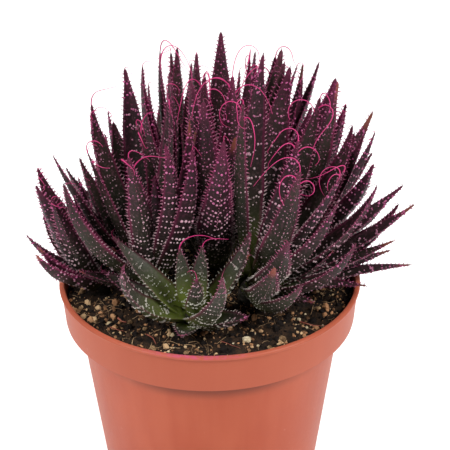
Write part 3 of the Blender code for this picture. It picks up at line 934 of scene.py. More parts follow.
def build_leaves(rosette):
    node = rosette["name"]
    draw = random.Random(node)
    corners, faces, values = [], [], []
    for leaf in rosette["leaves"]:
        leaf["chance"] = draw.random()
        greenness = GREENNESS.get(node, LITTLE_GREEN)
        dry_share = DRY_SHARE * leaf["age"]
        if leaf["turn"] == LISTED_TURN:
            greenness = LISTED_GREENNESS.get(node, greenness)
            dry_share = LISTED_DRY_SHARE
        greenness = max(greenness, LOW_FRONT_GREEN * low_front(leaf["spine"][-1][0]))
        leaf["green"] = greenness * draw.uniform(*GREEN_SPREAD)
        leaf["dry"] = float(draw.random() < dry_share)
        add_leaf(leaf, corners, faces, values)
    add_stem(rosette, corners, faces, values)
    name = node + "_leaves"
    mesh = mesh_of(name, corners, faces, values)
    mesh.materials.append(LEAF_SKIN)
    settle(new_object(name, mesh), node)


for rosette in rosettes:
    build_leaves(rosette)

# %% [markdown]
# ## The lace: teeth, bumps and threads
#
# The plant has its name from soft white teeth along the margins and keels, white bumps in
# cross rows on the backs, and a long thin thread at each leaf tip. None of them is modelled
# one by one. Python lays guide lines along the margins, across the leaves and out from the
# tips, and one Geometry Nodes tree walks along the lines and sets a tooth, a bump or a thin
# tube there. A number called kind tells the tree which is which.

# %% Guide lines
KINDS = {"tooth": 0.0, "bump": 1.0, "thread": 2.0}


class GuideLines:
    """Polylines whose points carry a kind, a size, a place along the leaf and a direction."""

    def __init__(self):
        self.points, self.edges, self.outward = [], [], []
        self.numbers = {"kind": [], "size": [], "along": [], "tint": []}

    def line(self, kind, points, outward, size, along, tint=0.0):
        """Adds a line. A size or a place along the leaf is one for all points, or a list."""
        start, count = len(self.points), len(points)
        self.points += points
        self.edges += [(start + index, start + index + 1) for index in range(count - 1)]
        self.outward += outward
        row = {"kind": KINDS[kind], "size": size, "along": along, "tint": tint}
        for label, value in row.items():
            self.numbers[label] += value if isinstance(value, list) else [value] * count

    def mesh(self, name):
        made = bpy.data.meshes.new(name)
        made.from_pydata(self.points, self.edges, [])
        for label, numbers in self.numbers.items():
            made.attributes.new(label, "FLOAT", "POINT").data.foreach_set("value", numbers)
        flat = [value for vector in self.outward for value in vector]
        made.attributes.new("outward", "FLOAT_VECTOR", "POINT").data.foreach_set("vector", flat)
        return made


# %% Where the teeth go
TOOTH_SAMPLES = 24
TOOTHED_TO = 0.97
TOOTHED_FROM_YOUNG = 0.3
TOOTHED_FROM_OLD = 0.06
KEEL_TOOTHED_FROM = 0.5
TOOTH_LENGTH = 2.0 * MM
TOOTH_SLANT = 0.55
TOOTH_LIFT = 0.25
TIP_TOOTH_LOSS = 0.35
GREEN_TOOTH_LOSS = 0.3
KEEL_TOOTH_SHARE = 0.6
COURSE_SPAN = 0.02


def leaf_course(leaf, along):
    """The direction from root to tip at a place on the leaf."""
    near = at_station(leaf["spine"], max(along - COURSE_SPAN, 0.0))[0]
    return (at_station(leaf["spine"], min(along + COURSE_SPAN, 1.0))[0] - near).normalized()


def tooth_lines(leaf, guides):
    """One line along each margin and one along the keel."""
    longest = TOOTH_LENGTH * (1 - GREEN_TOOTH_LOSS * leaf["green"])
    for across, first in ((-1, None), (1, None), (0, KEEL_TOOTHED_FROM)):
        low = first or by_age(leaf, TOOTHED_FROM_YOUNG, TOOTHED_FROM_OLD)
        share = 1.0 if across else KEEL_TOOTH_SHARE
        points, outward, sizes, places = [], [], [], []
        for index in range(TOOTH_SAMPLES):
            along = low + (TOOTHED_TO - low) * index / (TOOTH_SAMPLES - 1)
            _, side, normal = at_station(leaf["spine"], along)
            aside = side * across + normal * TOOTH_LIFT if across else -normal
            points.append(surface_point(leaf, along, across, across == 0))
            outward.append((aside + leaf_course(leaf, along) * TOOTH_SLANT).normalized())
            sizes.append(longest * (1 - TIP_TOOTH_LOSS * along) * share)
            places.append(along)
        guides.line("tooth", points, outward, sizes, places, leaf["green"])


# %% Where the bumps go
ROW_STEP = 2.7 * MM
ROWS_FROM = 0.14
ROWS_TO = 0.93
ROW_SAMPLES = 7
ROW_REACH = 0.84
ROW_BEND = 0.012
ROW_WOBBLE = 0.005
ROW_SHIFT = (0.2, 0.8)
CLOSEST_ROWS = 0.8
ROW_CHANCE = 0.5
GREEN_ROW_LOSS = 0.3
BUMP_RADIUS = 0.66 * MM
BUMP_SPREAD = (0.65, 1.15)
LEAST_BUMP = 0.5
BUMP_CHANCE = 0.7
ROOT_BUMP = 1.1
TIP_BUMP_LOSS = 0.4
GREEN_BUMP_LOSS = 0.4
FACE_ROWS = 2
FACE_ROWS_TO = 0.4
FACE_ROW_SPAN = (0.1, 0.7)
FACE_ROW_SHIFT = 0.5


def bump_row(leaf, guides, draw, centre, back, left, right):
    """One cross row between two places across the leaf, bent back towards the margins."""
    size = BUMP_RADIUS * draw.uniform(*BUMP_SPREAD) * (ROOT_BUMP - TIP_BUMP_LOSS * centre)
    chance = LEAST_BUMP + BUMP_CHANCE * leaf["chance"]
    size *= chance * (1 - GREEN_BUMP_LOSS * leaf["green"])
    points, outward, places = [], [], []
    for index in range(ROW_SAMPLES):
        across = left + (right - left) * index / (ROW_SAMPLES - 1)
        along = centre + draw.uniform(-ROW_WOBBLE, ROW_WOBBLE) + ROW_BEND * abs(across)
        points.append(surface_point(leaf, along, across, back))
        outward.append(face_direction(leaf, along, across, back))
        places.append(along)
    guides.line("bump", points, outward, size, places, leaf["green"])


def bump_rows(leaf, guides, draw):
    """Full rows on the back, and short scattered ones on the upper face."""
    step = ROW_STEP * (1 - GREEN_ROW_LOSS * leaf["green"])
    step *= CLOSEST_ROWS + ROW_CHANCE * leaf["chance"]
    count = int(leaf["length"] * (ROWS_TO - ROWS_FROM) / step)
    for row in range(count):
        centre = ROWS_FROM + (ROWS_TO - ROWS_FROM) * (row + draw.uniform(*ROW_SHIFT)) / count
        bump_row(leaf, guides, draw, centre, 1, -ROW_REACH, ROW_REACH)
        for _ in range(FACE_ROWS):
            left = draw.uniform(-ROW_REACH, FACE_ROWS_TO)
            right = min(left + draw.uniform(*FACE_ROW_SPAN), ROW_REACH)
            shift = draw.uniform(-FACE_ROW_SHIFT, FACE_ROW_SHIFT) / count
            bump_row(leaf, guides, draw, min(centre + shift, ROWS_TO), 0, left, right)


# %% Where the threads go
THREAD_STEPS = 22
THREADED_AGE = 0.25
THREADED_SHARE = 0.3
THREADED_GREEN = 0.5
# length as a share of the leaf's, radius at the foot in mm, curl in degrees, how dry it is
THREAD = ((0.2, 0.4), 0.23, (60, 320), (0.0, 0.5))
OLDER_THREAD = ((0.08, 0.2), 0.2, (60, 320), (0.2, 0.7))
AWN = ((0.04, 0.09), 0.23, (10, 70), (0.8, 1.0))
# place along and across the leaf of the threads beside the one at its tip
SIDE_THREADS = ((0.95, -1.0), (0.92, 1.0))
SIDE_COURSE = 0.5
ROOTED = 0.8 * MM
# A thread shorter than THICK_AT is thinner. Each thins from its foot and curls more and more
THICK_AT = 14 * MM
THINNEST_THREAD = 0.6
THREAD_FOOT = 1.1
THREAD_THINNING = 0.8
CURL_FOOT = 0.4
CURL_GAIN = 1.2
PIVOT_ASIDE = (-1, 1)
PIVOT_UNDER = (-0.4, 1)
PIVOT_WANDER = 0.25
# Threads sag, and are drawn to where they meet, more so where they leave the clump's outline
THREAD_SAG = Vector((0, 0, 0.06))
THREADS_MEET = Vector((10, -30, 140)) * MM
THREAD_PULL = 0.13
STRAY_PULL = 0.34
STRAYS_FROM = 0.93
STRAYS_OVER = 0.14
# Threads are long for the small front leaves, and short at the back and left, where they
# would stand in the open
THREAD_REACH = {
    "rosette_front": 1.8,
    "rosette_back": 0.35,
    "rosette_back_left": 0.35,
    "rosette_back_right": 0.35,
    "rosette_left": 0.55,
    "rosette_left_middle": 0.7,
}


def thread_line(leaf, guides, draw, along, across, growth, reach):
    """A thread or an awn that leaves the leaf near its tip and curls up as it dries."""
    lengths, radius, curls, dryness = growth
    length = draw.uniform(*lengths) * leaf["length"] * reach
    _, side, normal = at_station(leaf["spine"], along)
    course = (leaf_course(leaf, along) + side * (SIDE_COURSE * across)).normalized()
    pivot = side * draw.uniform(*PIVOT_ASIDE) - normal * draw.uniform(*PIVOT_UNDER)
    turn = math.radians(draw.uniform(*curls)) / THREAD_STEPS
    point = surface_point(leaf, along, across, 0) - course * ROOTED
    thick = radius * MM * min(max(length / THICK_AT, THINNEST_THREAD), 1.0)
    points, sizes = [], []
    for index in range(THREAD_STEPS + 1):
        share = index / THREAD_STEPS
        points.append(point)
        sizes.append(thick * (THREAD_FOOT - THREAD_THINNING * share))
        pivot = pivot + Vector([draw.uniform(-PIVOT_WANDER, PIVOT_WANDER) for _ in range(3)])
        bend = turn * (CURL_FOOT + CURL_GAIN * share)
        curl = Matrix.Rotation(bend, 3, pivot.normalized())
        strays = min(max((past_outline(point) - STRAYS_FROM) / STRAYS_OVER, 0.0), 1.0)
        strength = THREAD_PULL + (STRAY_PULL - THREAD_PULL) * strays
        pull = (THREADS_MEET - point).normalized() * strength
        course = (curl @ course + pull - THREAD_SAG).normalized()
        point = point + course * (length / THREAD_STEPS)
    outward = [normal] * len(points)
    guides.line("thread", points, outward, sizes, draw.uniform(*dryness), leaf["green"])


def thread_lines(leaf, guides, draw, reach):
    """Pink threads on young leaves and on a few older ones, and short dry awns on the others."""
    young = leaf["age"] < THREADED_AGE
    older = draw.random() < THREADED_SHARE * (1 - leaf["age"])
    growth = THREAD if young else OLDER_THREAD if older else AWN
    thread_line(leaf, guides, draw, 1.0, 0.0, growth, reach)
    if young and leaf["green"] < THREADED_GREEN:
        for along, across in SIDE_THREADS:
            thread_line(leaf, guides, draw, along, across, THREAD, reach)


# %% [markdown]
# ### Wax, teeth and threads
#
# Bumps and teeth are the same pale wax: nearly white low on a green leaf, and stained magenta on
# the red parts. Low on the red leaves, deep in the rosette, the wax is painted in shade. The tree
# keeps the guide's numbers on the copies, so the materials can read them. Threads dry from bright
# magenta to a dull brown.


# %% Wax and thread materials
MINT_WAX = (0.50, 0.54, 0.42)
SPECK = (0.3, 0.2, 0.24)
SHADED_WAX = (0.05, 0.04, 0.04)
FRESH_THREAD = (0.52, 0.018, 0.15)
DRIED_THREAD = (0.06, 0.015, 0.022)


def wax_paint(recipe, pale, stained, low, high):
    """Pale wax that is stained from one place on the leaf to another, and painted in shade low on
    the red leaves.
    """
    along = recipe.attribute("along")
    tint = recipe.attribute("tint")
    cloud = recipe.noise(420.0, 2.0)
    stain = recipe.ease(along + (cloud - 0.5) * 0.7 - tint * 0.3, low, high)
    colour = recipe.blend(stain, recipe.blend(tint, pale, MINT_WAX), stained)
    speck = recipe.noise(2600.0, 2.0)
    colour = recipe.blend(speck * 0.3, colour, SPECK)
    # Painted shade: low on the red leaves, deep in the rosette, the wax darkens towards SHADED_WAX
    lit = recipe.ease(along + tint * 0.6, 0.1, 0.5)
    colour = recipe.blend(lit * 0.75 + 0.25, SHADED_WAX, colour)
    return colour, 0.35 + speck * 0.2, speck, 0.2, 0.05 * MM


def thread_paint(recipe):
    cloud = recipe.noise(260.0, 2.0)
    dried = recipe.ease(recipe.attribute("along") + (cloud - 0.5) * 0.8, 0.55, 1.0)
    colour = recipe.blend(dried, FRESH_THREAD, DRIED_THREAD)
    return colour, 0.4 + cloud * 0.25, recipe.noise(2400.0), 0.3, 0.05 * MM


BUMP_WAX = finish("bump_wax", 0.45, wax_paint, (0.68, 0.46, 0.51), (0.50, 0.06, 0.24), 0.15, 0.9)
TOOTH_WAX = finish(
    "tooth_wax", 0.45, wax_paint, (0.50, 0.33, 0.36), (0.29, 0.021, 0.10), 0.1, 0.75
)
THREAD_SKIN = finish("thread_skin", 0.5, thread_paint)


# %% [markdown]
# ### The tree that hangs the lace
#
# The tree turns the guide edges into curves and parts them by kind. On margins it sets a cone
# at each step, turned to the direction that the guide gives. On cross rows it sets flattened
# balls, shifted and left out at random so that no row looks stamped. Threads are swept with a
# small circle.


# %% Parts of the trees
KIND_SLACK = 0.1


def with_kind(recipe, curves, kind):
    kinds = (named(recipe, "kind"), KINDS[kind], KIND_SLACK)
    inputs = {"Geometry": curves, "Selection": recipe.node(MATH, *kinds, operation="COMPARE")}
    return recipe.node("GeometryNodeSeparateGeometry", domain="CURVE", **inputs)


def stepped(recipe, curves, step):
    return recipe.node("GeometryNodeResampleCurve", mode="LENGTH", Curve=curves, Length=step)


def turned_outward(recipe, wobble, seed):
    """A rotation that points an instance's Z along the guide's direction."""
    values = (named(recipe, "outward", "FLOAT_VECTOR"), jitter(recipe, wobble, seed))
    aim = recipe.node(VECTOR_MATH, *values, operation="ADD")
    return recipe.node("FunctionNodeAlignRotationToVector", axis="Z", Vector=aim)


def copies(recipe, points, shape, rotation, size, height, chosen=True):
    """Copies of a shape, all as wide as size and height times as high."""
    scale = recipe.node("ShaderNodeCombineXYZ", X=size, Y=size, Z=size * height)
    inputs = {"Points": points, "Instance": shape, "Rotation": rotation, "Scale": scale}
    return recipe.node("GeometryNodeInstanceOnPoints", **inputs, Selection=chosen)


def ball(recipe):
    return recipe.node("GeometryNodeMeshIcoSphere", Radius=1.0, Subdivisions=1)


def moved(recipe, geometry, offset):
    return recipe.node("GeometryNodeSetPosition", Geometry=geometry, Offset=offset)


def swept(recipe, curves):
    """Curves swept with a small circle, as thick as their points' size."""
    circle = recipe.node("GeometryNodeCurvePrimitiveCircle", Resolution=4, Radius=1.0)
    inputs = {"Curve": curves, "Profile_Curve": circle, "Scale": named(recipe, "size")}
    return recipe.node("GeometryNodeCurveToMesh", **inputs, Fill_Caps=True)


# %% Lace tree
LACE_SIZES = {"Tooth Step": 1.6 * MM, "Bump Step": 1.4 * MM, "Bumps Kept": 0.9, "Seed": 7}
TOOTH_CONE = {"Vertices": 5, "Radius_Top": 0.02, "Radius_Bottom": 0.21, "Depth": 1.0}
TOOTH_SPREAD = (0.65, 1.15)
TOOTH_WOBBLE = 0.28
SINGLE_BUMP_SPREAD = (0.55, 1.2)
BUMP_SHIFT = 0.2 * MM
BUMP_WOBBLE = 0.1
BUMP_HEIGHT = 0.8


def lace_tree():
    recipe, given = new_tree("lace", LACE_SIZES)
    seed = given["Seed"]
    curves = recipe.node("GeometryNodeMeshToCurve", Mesh=given["Geometry"])
    tooth = recipe.node("GeometryNodeMeshCone", fill_type="NONE", **TOOTH_CONE)
    points = stepped(recipe, with_kind(recipe, curves, "tooth"), given["Tooth Step"])
    size = named(recipe, "size") * spread(recipe, *TOOTH_SPREAD, seed)
    turn = turned_outward(recipe, TOOTH_WOBBLE, seed + 1)
    teeth = copies(recipe, points, tooth, turn, size, 1.0)
    points = stepped(recipe, with_kind(recipe, curves, "bump"), given["Bump Step"])
    points = moved(recipe, points, jitter(recipe, BUMP_SHIFT, seed + 2))
    size = named(recipe, "size") * spread(recipe, *SINGLE_BUMP_SPREAD, seed + 3)
    turn = turned_outward(recipe, BUMP_WOBBLE, seed + 4)
    chance = {"Probability": given["Bumps Kept"], "Seed": seed + 5}
    kept = recipe.node("FunctionNodeRandomValue", data_type="BOOLEAN", **chance)
    bumps = copies(recipe, points, ball(recipe), turn, size, BUMP_HEIGHT, kept)
    threads = swept(recipe, with_kind(recipe, curves, "thread"))
    branches = ((teeth, TOOTH_WAX), (bumps, BUMP_WAX), (threads, THREAD_SKIN))
    return end_tree(recipe, *(dressed(recipe, *branch) for branch in branches))


LACE = lace_tree()
print("lace tree has", len(LACE.nodes), "nodes")

# %% Hang the lace on every rosette
# The bumps lie closest on the front rosette
LACE_OF = {"rosette_front": {"Bump Step": 0.62 * MM, "Bumps Kept": 0.85}}
FIRST_LACE_SEED = 100
LACE_SEED_STEP = 10


def build_lace(rosette, number):
    node = rosette["name"]
    draw = random.Random(FIRST_LACE_SEED + number)
    guides = GuideLines()
    for leaf in rosette["leaves"]:
        tooth_lines(leaf, guides)
        bump_rows(leaf, guides, draw)
        thread_lines(leaf, guides, draw, THREAD_REACH.get(node, 1.0))
    name = node + "_lace"
    sizes = {**LACE_SIZES, **LACE_OF.get(node, {}), "Seed": LACE_SEED_STEP * number}
    settle(grown(name, guides.mesh(name), LACE, **sizes), node)


for number, rosette in enumerate(rosettes):
    build_lace(rosette, number)

# %% [markdown]
# ## Soil
#
# Potting soil is dark peat with crumbs of every size, pale grains that let water through, and
# bits of fibre. Bump mapping alone looks like painted carpet at the rim, so the surface is a
# fine mesh that follows the solid's relief, and Geometry Nodes scatter real crumbs on it.

# %% Soil surface
SOIL_RADIUS = 56.7 * MM
SOIL_FLOOR = 86 * MM
SOIL_FOOT_SHARE = 0.88
SOIL_FINE_RINGS = 46
SOIL_FINE_STEPS = 150
SOIL_ROUGHNESS = 0.5 * MM
FINE_WAVE_X = 1700
FINE_WAVE_Y = 1900
FINE_BEND_X = 600
FINE_BEND_Y = 1100


def mesh_from(bm, name):
    mesh = bpy.data.meshes.new(name)
    bm.to_mesh(mesh)
    bm.free()
    return mesh


def soil_body():
    """A plug of soil in the pot's band with a fine, uneven top."""
    bm = bmesh.new()
    rings = []
    for ring in range(1, SOIL_FINE_RINGS + 1):
        radius = SOIL_RADIUS * ring / SOIL_FINE_RINGS
        row = []
        for turn in turns(SOIL_FINE_STEPS):
            x, y = radius * math.cos(turn), radius * math.sin(turn)
            fine = math.sin(x * FINE_WAVE_X + 2 * math.sin(y * FINE_BEND_Y))
            fine *= math.cos(y * FINE_WAVE_Y + x * FINE_BEND_X)
            row.append(bm.verts.new((x, y, soil_height(x, y) + SOIL_ROUGHNESS * fine)))
        rings.append(row)
    middle = bm.verts.new((0, 0, soil_height(0, 0)))
    foot = [v.co * SOIL_FOOT_SHARE for v in rings[-1]]
    rings.append([bm.verts.new((place.x, place.y, SOIL_FLOOR)) for place in foot])
    for step in range(SOIL_FINE_STEPS):
        after = (step + 1) % SOIL_FINE_STEPS
        bm.faces.new((middle, rings[0][step], rings[0][after]))
        for inner, outer in zip(rings, rings[1:]):
            bm.faces.new((inner[step], outer[step], outer[after], inner[after]))
    bm.faces.new(list(reversed(rings[-1])))
    bmesh.ops.recalc_face_normals(bm, faces=bm.faces)
    mesh = mesh_from(bm, "soil_surface")
    mesh.shade_smooth()
    return mesh


# %% Soil materials
CRUMB_BLACK = (0.007, 0.004, 0.003)
CRUMB_BARK = (0.60, 0.30, 0.14)
CRUMB_PALE = (0.68, 0.46, 0.25)
CRUMB_DUST = (0.012, 0.007, 0.005)
# dark and light colour, and how fine the mottling is
PEATS = {
    "peat": ((0.005, 0.003, 0.002), (0.045, 0.023, 0.011), 260.0),
    "pale_grain": ((0.45, 0.33, 0.17), (0.80, 0.70, 0.50), 300.0),
    "fibre": ((0.18, 0.10, 0.05), (0.60, 0.40, 0.22), 400.0),
    "bark": ((0.10, 0.055, 0.025), (0.42, 0.27, 0.14), 500.0),
    "dried_leaf": ((0.20, 0.040, 0.030), (0.46, 0.17, 0.11), 500.0),
}


def peat_paint(recipe, dark, light, scale):
    clod = recipe.noise(scale, 6.0)
    crumb = recipe.noise(scale * 7, 3.0)
    colour = recipe.blend(recipe.ease(clod * 0.6 + crumb * 0.4, 0.38, 0.66), dark, light)
    return colour, 0.75 + crumb * 0.25, clod + crumb * 0.6, 0.8, 0.5 * MM


def crumb_paint(recipe):
    """Crumbs from black peat to light bark, each with a tint of its own."""
    tint = recipe.attribute("tint")
    speck = recipe.noise(1600.0, 3.0)
    colour = recipe.blend(recipe.ease(tint, 0.55, 0.92), CRUMB_BLACK, CRUMB_BARK)
    colour = recipe.blend(recipe.ease(tint, 0.86, 0.97), colour, CRUMB_PALE)
    colour = recipe.blend(speck * 0.3, colour, CRUMB_DUST)
    return colour, 0.75 + speck * 0.25, speck, 0.7, 0.3 * MM


EARTHY = {name: finish(name, 0.25, peat_paint, *look) for name, look in PEATS.items()}
EARTHY["peat_crumb"] = finish("peat_crumb", 0.25, crumb_paint)
print("soil materials:", ", ".join(EARTHY))

# %% Scatter tree
# material, seed, number per square metre, smallest and largest radius in mm
SCATTER = {
    "soil_crumbs": ("peat_crumb", 3, 330000.0, 0.25, 1.0),
    "soil_clods": ("peat_crumb", 5, 80000.0, 0.7, 2.0),
    "soil_grains": ("pale_grain", 12, 7500.0, 0.3, 0.9),
}
MOSTLY_SMALL = 3.0
LUMP_HEIGHT = 0.7
LUMP_PUSH = 1.1 * MM
OPEN_SOIL = 0.3


def scatter_tree(name, sizes, material):
    """Lumps of random size on a surface, each pushed out of round by noise at its place."""
    recipe, given = new_tree(name, sizes)
    inputs = {"Mesh": given["Geometry"], "Density": given["Density"], "Seed": given["Seed"]}
    inputs["Selection"] = named(recipe, "open_soil")
    kind = "GeometryNodeDistributePointsOnFaces"
    points = recipe.node(kind, distribute_method="RANDOM", **inputs)
    chance = spread(recipe, 0.0, 1.0, given["Seed"] + 1)
    range_of_sizes = given["Largest"] - given["Smallest"]
    size = given["Smallest"] + range_of_sizes * chance**MOSTLY_SMALL
    turn = jitter(recipe, math.pi, given["Seed"] + 2)
    placed = copies(recipe, points, ball(recipe), turn, size, LUMP_HEIGHT)
    tint = {"Name": "tint", "Value": spread(recipe, 0.0, 1.0, given["Seed"] + 3)}
    store = "GeometryNodeStoreNamedAttribute"
    placed = recipe.node(store, domain="INSTANCE", Geometry=placed, **tint)
    real = recipe.node("GeometryNodeRealizeInstances", Geometry=placed)
    cloud = recipe.noise(900.0, 1.0, recipe.node("GeometryNodeInputPosition")).output("Color")
    push = recipe.node(VECTOR_MATH, cloud, (0.5, 0.5, 0.5), operation="SUBTRACT")
    push = recipe.node(VECTOR_MATH, push, operation="SCALE", Scale=LUMP_PUSH)
    return end_tree(recipe, dressed(recipe, moved(recipe, real, push), material, smooth=False))


# %% Lay the soil
surface = soil_body()
open_faces = [float(face.normal.z > OPEN_SOIL) for face in surface.polygons]
surface.attributes.new("open_soil", "FLOAT", "FACE").data.foreach_set("value", open_faces)
scattered = []
for name, (material, seed, density, smallest, largest) in SCATTER.items():
    sizes = {"Density": density, "Smallest": smallest * MM, "Largest": largest * MM, "Seed": seed}
    tree = scatter_tree(name, sizes, EARTHY[material])
    scattered.append(grown(name, surface, tree, **sizes))
surface.materials.append(EARTHY["peat"])
for piece in (new_object("soil_surface", surface), *scattered):
    settle(piece, "soil")

# %% [markdown]
# Fibres and dry bits lie over the crumbs. A few large grains, bits of bark and dry scraps
# catch the eye in front of the plant. A scatter would put them anywhere, so these are placed
# one by one from short lists. Fibres and scraps are guide lines again, swept like the threads.

# %% Fibres
FIBRES = 190
FIBRE_SEED = 51
FIBRE_LENGTH = (4, 15)
FIBRE_RADIUS = (0.05, 0.14)
FIBRE_STEPS = 9
FIBRE_HOVER = (0.3, 1.2)
FIBRE_BEND = 0.35
FIBRE_WANDER = 0.2
FIBRE_WAVE = 0.6
FIBRES_WITHIN = 53 * MM
FIBRES_END = 55.5 * MM


def laid(name, lines, material):
    """Lines of points, each with its points' sizes, swept and left on the soil."""
    guides = GuideLines()
    for points, sizes in lines:
        guides.line("thread", points, [Vector((0, 0, 1))] * len(points), sizes, 0.5)
    recipe, given = new_tree(name, {})
    curves = recipe.node("GeometryNodeMeshToCurve", Mesh=given["Geometry"])
    tree = end_tree(recipe, dressed(recipe, swept(recipe, curves), EARTHY[material]))
    return grown(name, guides.mesh(name), tree)


def fibre_lines():
    draw = random.Random(FIBRE_SEED)
    for _ in range(FIBRES):
        radius = FIBRES_WITHIN * math.sqrt(draw.random())
        around = draw.uniform(0, math.tau)
        x, y = radius * math.cos(around), radius * math.sin(around)
        heading = draw.uniform(0, math.tau)
        step = draw.uniform(*FIBRE_LENGTH) * MM / FIBRE_STEPS
        bend = draw.uniform(-FIBRE_BEND, FIBRE_BEND)
        hover = draw.uniform(*FIBRE_HOVER) * MM
        points = []
        for index in range(FIBRE_STEPS + 1):
            if math.hypot(x, y) > FIBRES_END:
                break
            lift = hover * math.sin(index * FIBRE_WAVE) ** 2
            points.append(Vector((x, y, soil_height(x, y) + lift)))
            heading += bend + draw.uniform(-FIBRE_WANDER, FIBRE_WANDER)
            x, y = x + step * math.cos(heading), y + step * math.sin(heading)
        if len(points) > 2:
            yield points, draw.uniform(*FIBRE_RADIUS) * MM


# %% Grains, bark and scraps that are placed one by one
# x, y and size in mm
PALE_GRAINS = (
    (13.6, -42.7, 3.7), (34.1, -26.0, 2.2), (36.7, -32.8, 1.6), (17.7, -43.9, 1.3),
    (-38.7, -28.5, 2.8), (-13.6, -46.2, 1.0), (8.4, -44.6, 1.0),
)
BARK_BITS = (
    (-24.9, -31.6, 2.2), (-21.4, -45.0, 3.0), (-30.8, -27.0, 2.6), (-43.8, -27.0, 2.2),
    (-51.0, -4.0, 3.0), (-50.6, -15.9, 2.2), (27.2, -40.2, 3.6), (22.0, -44.0, 2.0),
    (-9.0, -49.5, 2.4), (42.0, -20.0, 2.4),
)
# points in mm that each scrap passes, and its half-width
DRY_SCRAPS = (
    (((34, -29), (39, -31), (45, -31.5), (51, -29)), 0.28),
    (((-35.5, -24.5), (-34, -26.5), (-31.5, -27.5)), 0.5),
    (((-24, -37), (-21.5, -40), (-20, -44)), 0.3),
    (((-38, -33), (-34.5, -34.5), (-31, -34)), 0.25),
    (((4, -43), (8, -46.5), (12, -48)), 0.2),
)
GRAIN_SHAPE = Vector((1, 0.78, 0.62))
GRAIN_SPREAD = (0.84, 1.12)
GRAIN_RISE = 0.2
SCRAP_STEPS = 4
SCRAP_HEIGHT = 0.9 * MM
SCRAP_TAPER = 0.7


def lumps(name, rows, material):
    """Broken balls that are partly sunk in the soil."""
    draw = random.Random(name)
    bm = bmesh.new()
    for row in rows:
        x, y, size = (value * MM for value in row)
        made = bmesh.ops.create_icosphere(bm, subdivisions=2, radius=size / 2)
        turn = Matrix.Rotation(draw.uniform(0, math.tau), 3, "Z")
        base = Vector((x, y, soil_height(x, y) + size * GRAIN_RISE))
        for vertex in made["verts"]:
            vertex.co = base + turn @ (vertex.co * GRAIN_SHAPE * draw.uniform(*GRAIN_SPREAD))
    mesh = mesh_from(bm, name)
    mesh.materials.append(EARTHY[material])
    return new_object(name, mesh)


def scrap_lines():
    for route, half in DRY_SCRAPS:
        points = []
        for (x, y), (next_x, next_y) in zip(route, route[1:]):
            for step in range(SCRAP_STEPS):
                across = (x + (next_x - x) * step / SCRAP_STEPS) * MM
                along = (y + (next_y - y) * step / SCRAP_STEPS) * MM
                points.append(Vector((across, along, soil_height(across, along) + SCRAP_HEIGHT)))
        count = len(points)
        yield points, [half * MM * (1 - SCRAP_TAPER * index / count) for index in range(count)]


for piece in (
    laid("soil_fibres", fibre_lines(), "fibre"),
    lumps("pale_grains", PALE_GRAINS, "pale_grain"),
    lumps("bark_bits", BARK_BITS, "bark"),
    laid("dry_scraps", scrap_lines(), "dried_leaf"),
):
    settle(piece, "soil")

# %% [markdown]
# ## Pot
#
# The pot is one thin shell of moulded plastic, so it has a round lip, a band with a step below
# it, and a faint line further down that keeps stacked pots apart. A profile turned by the
# Screw modifier gives all of it. The solid has 40 sides, and the finer pot here has 128, with
# the corners of the profile rounded.

# %% Pot profile
BAND_DEPTH = 16 * MM
SHOULDER = POT_HEIGHT - BAND_DEPTH
RECESS = 2 * MM
# Radius and height of each corner in mm: inside floor and wall, over the lip, and down the outside
POT_PROFILE = (
    (0, 3.3), (41.1125, 3.3), (51.7, 89.3), (56.9, 90.6), (57.6, 102.4), (57.8, 103.4),
    (58.2, 103.9), (58.8, 104), (59.4, 103.9), (59.9, 103.4), (60, 103.1), (59.8, 102.6),
    (59.2, 102.4), (58.2, 89.2), (58, 88.2), (57.6, 88), (53.6, 88), (53, 87.4),
    (51.875, 79), (51.475, 78.4), (42, 1.2), (41.8, 0.3), (41.4, 0), (37.5, 0),
    (36.9, 2), (8.6, 2), (8, 0), (0, 0),
)

# %% Pot material
TERRACOTTA = (0.37, 0.067, 0.029)
PALE_TERRACOTTA = (0.42, 0.091, 0.043)
PAINTED_BAND_SHEEN = (0.39, 0.105, 0.062)
CORNER_SHADE = (0.12, 0.030, 0.017)
PAINTED_LIP_HIGHLIGHT = (0.52, 0.06, 0.20)
DUST = (0.62, 0.36, 0.28)
FLOW_SCALE = (160.0, 160.0, 6.0)


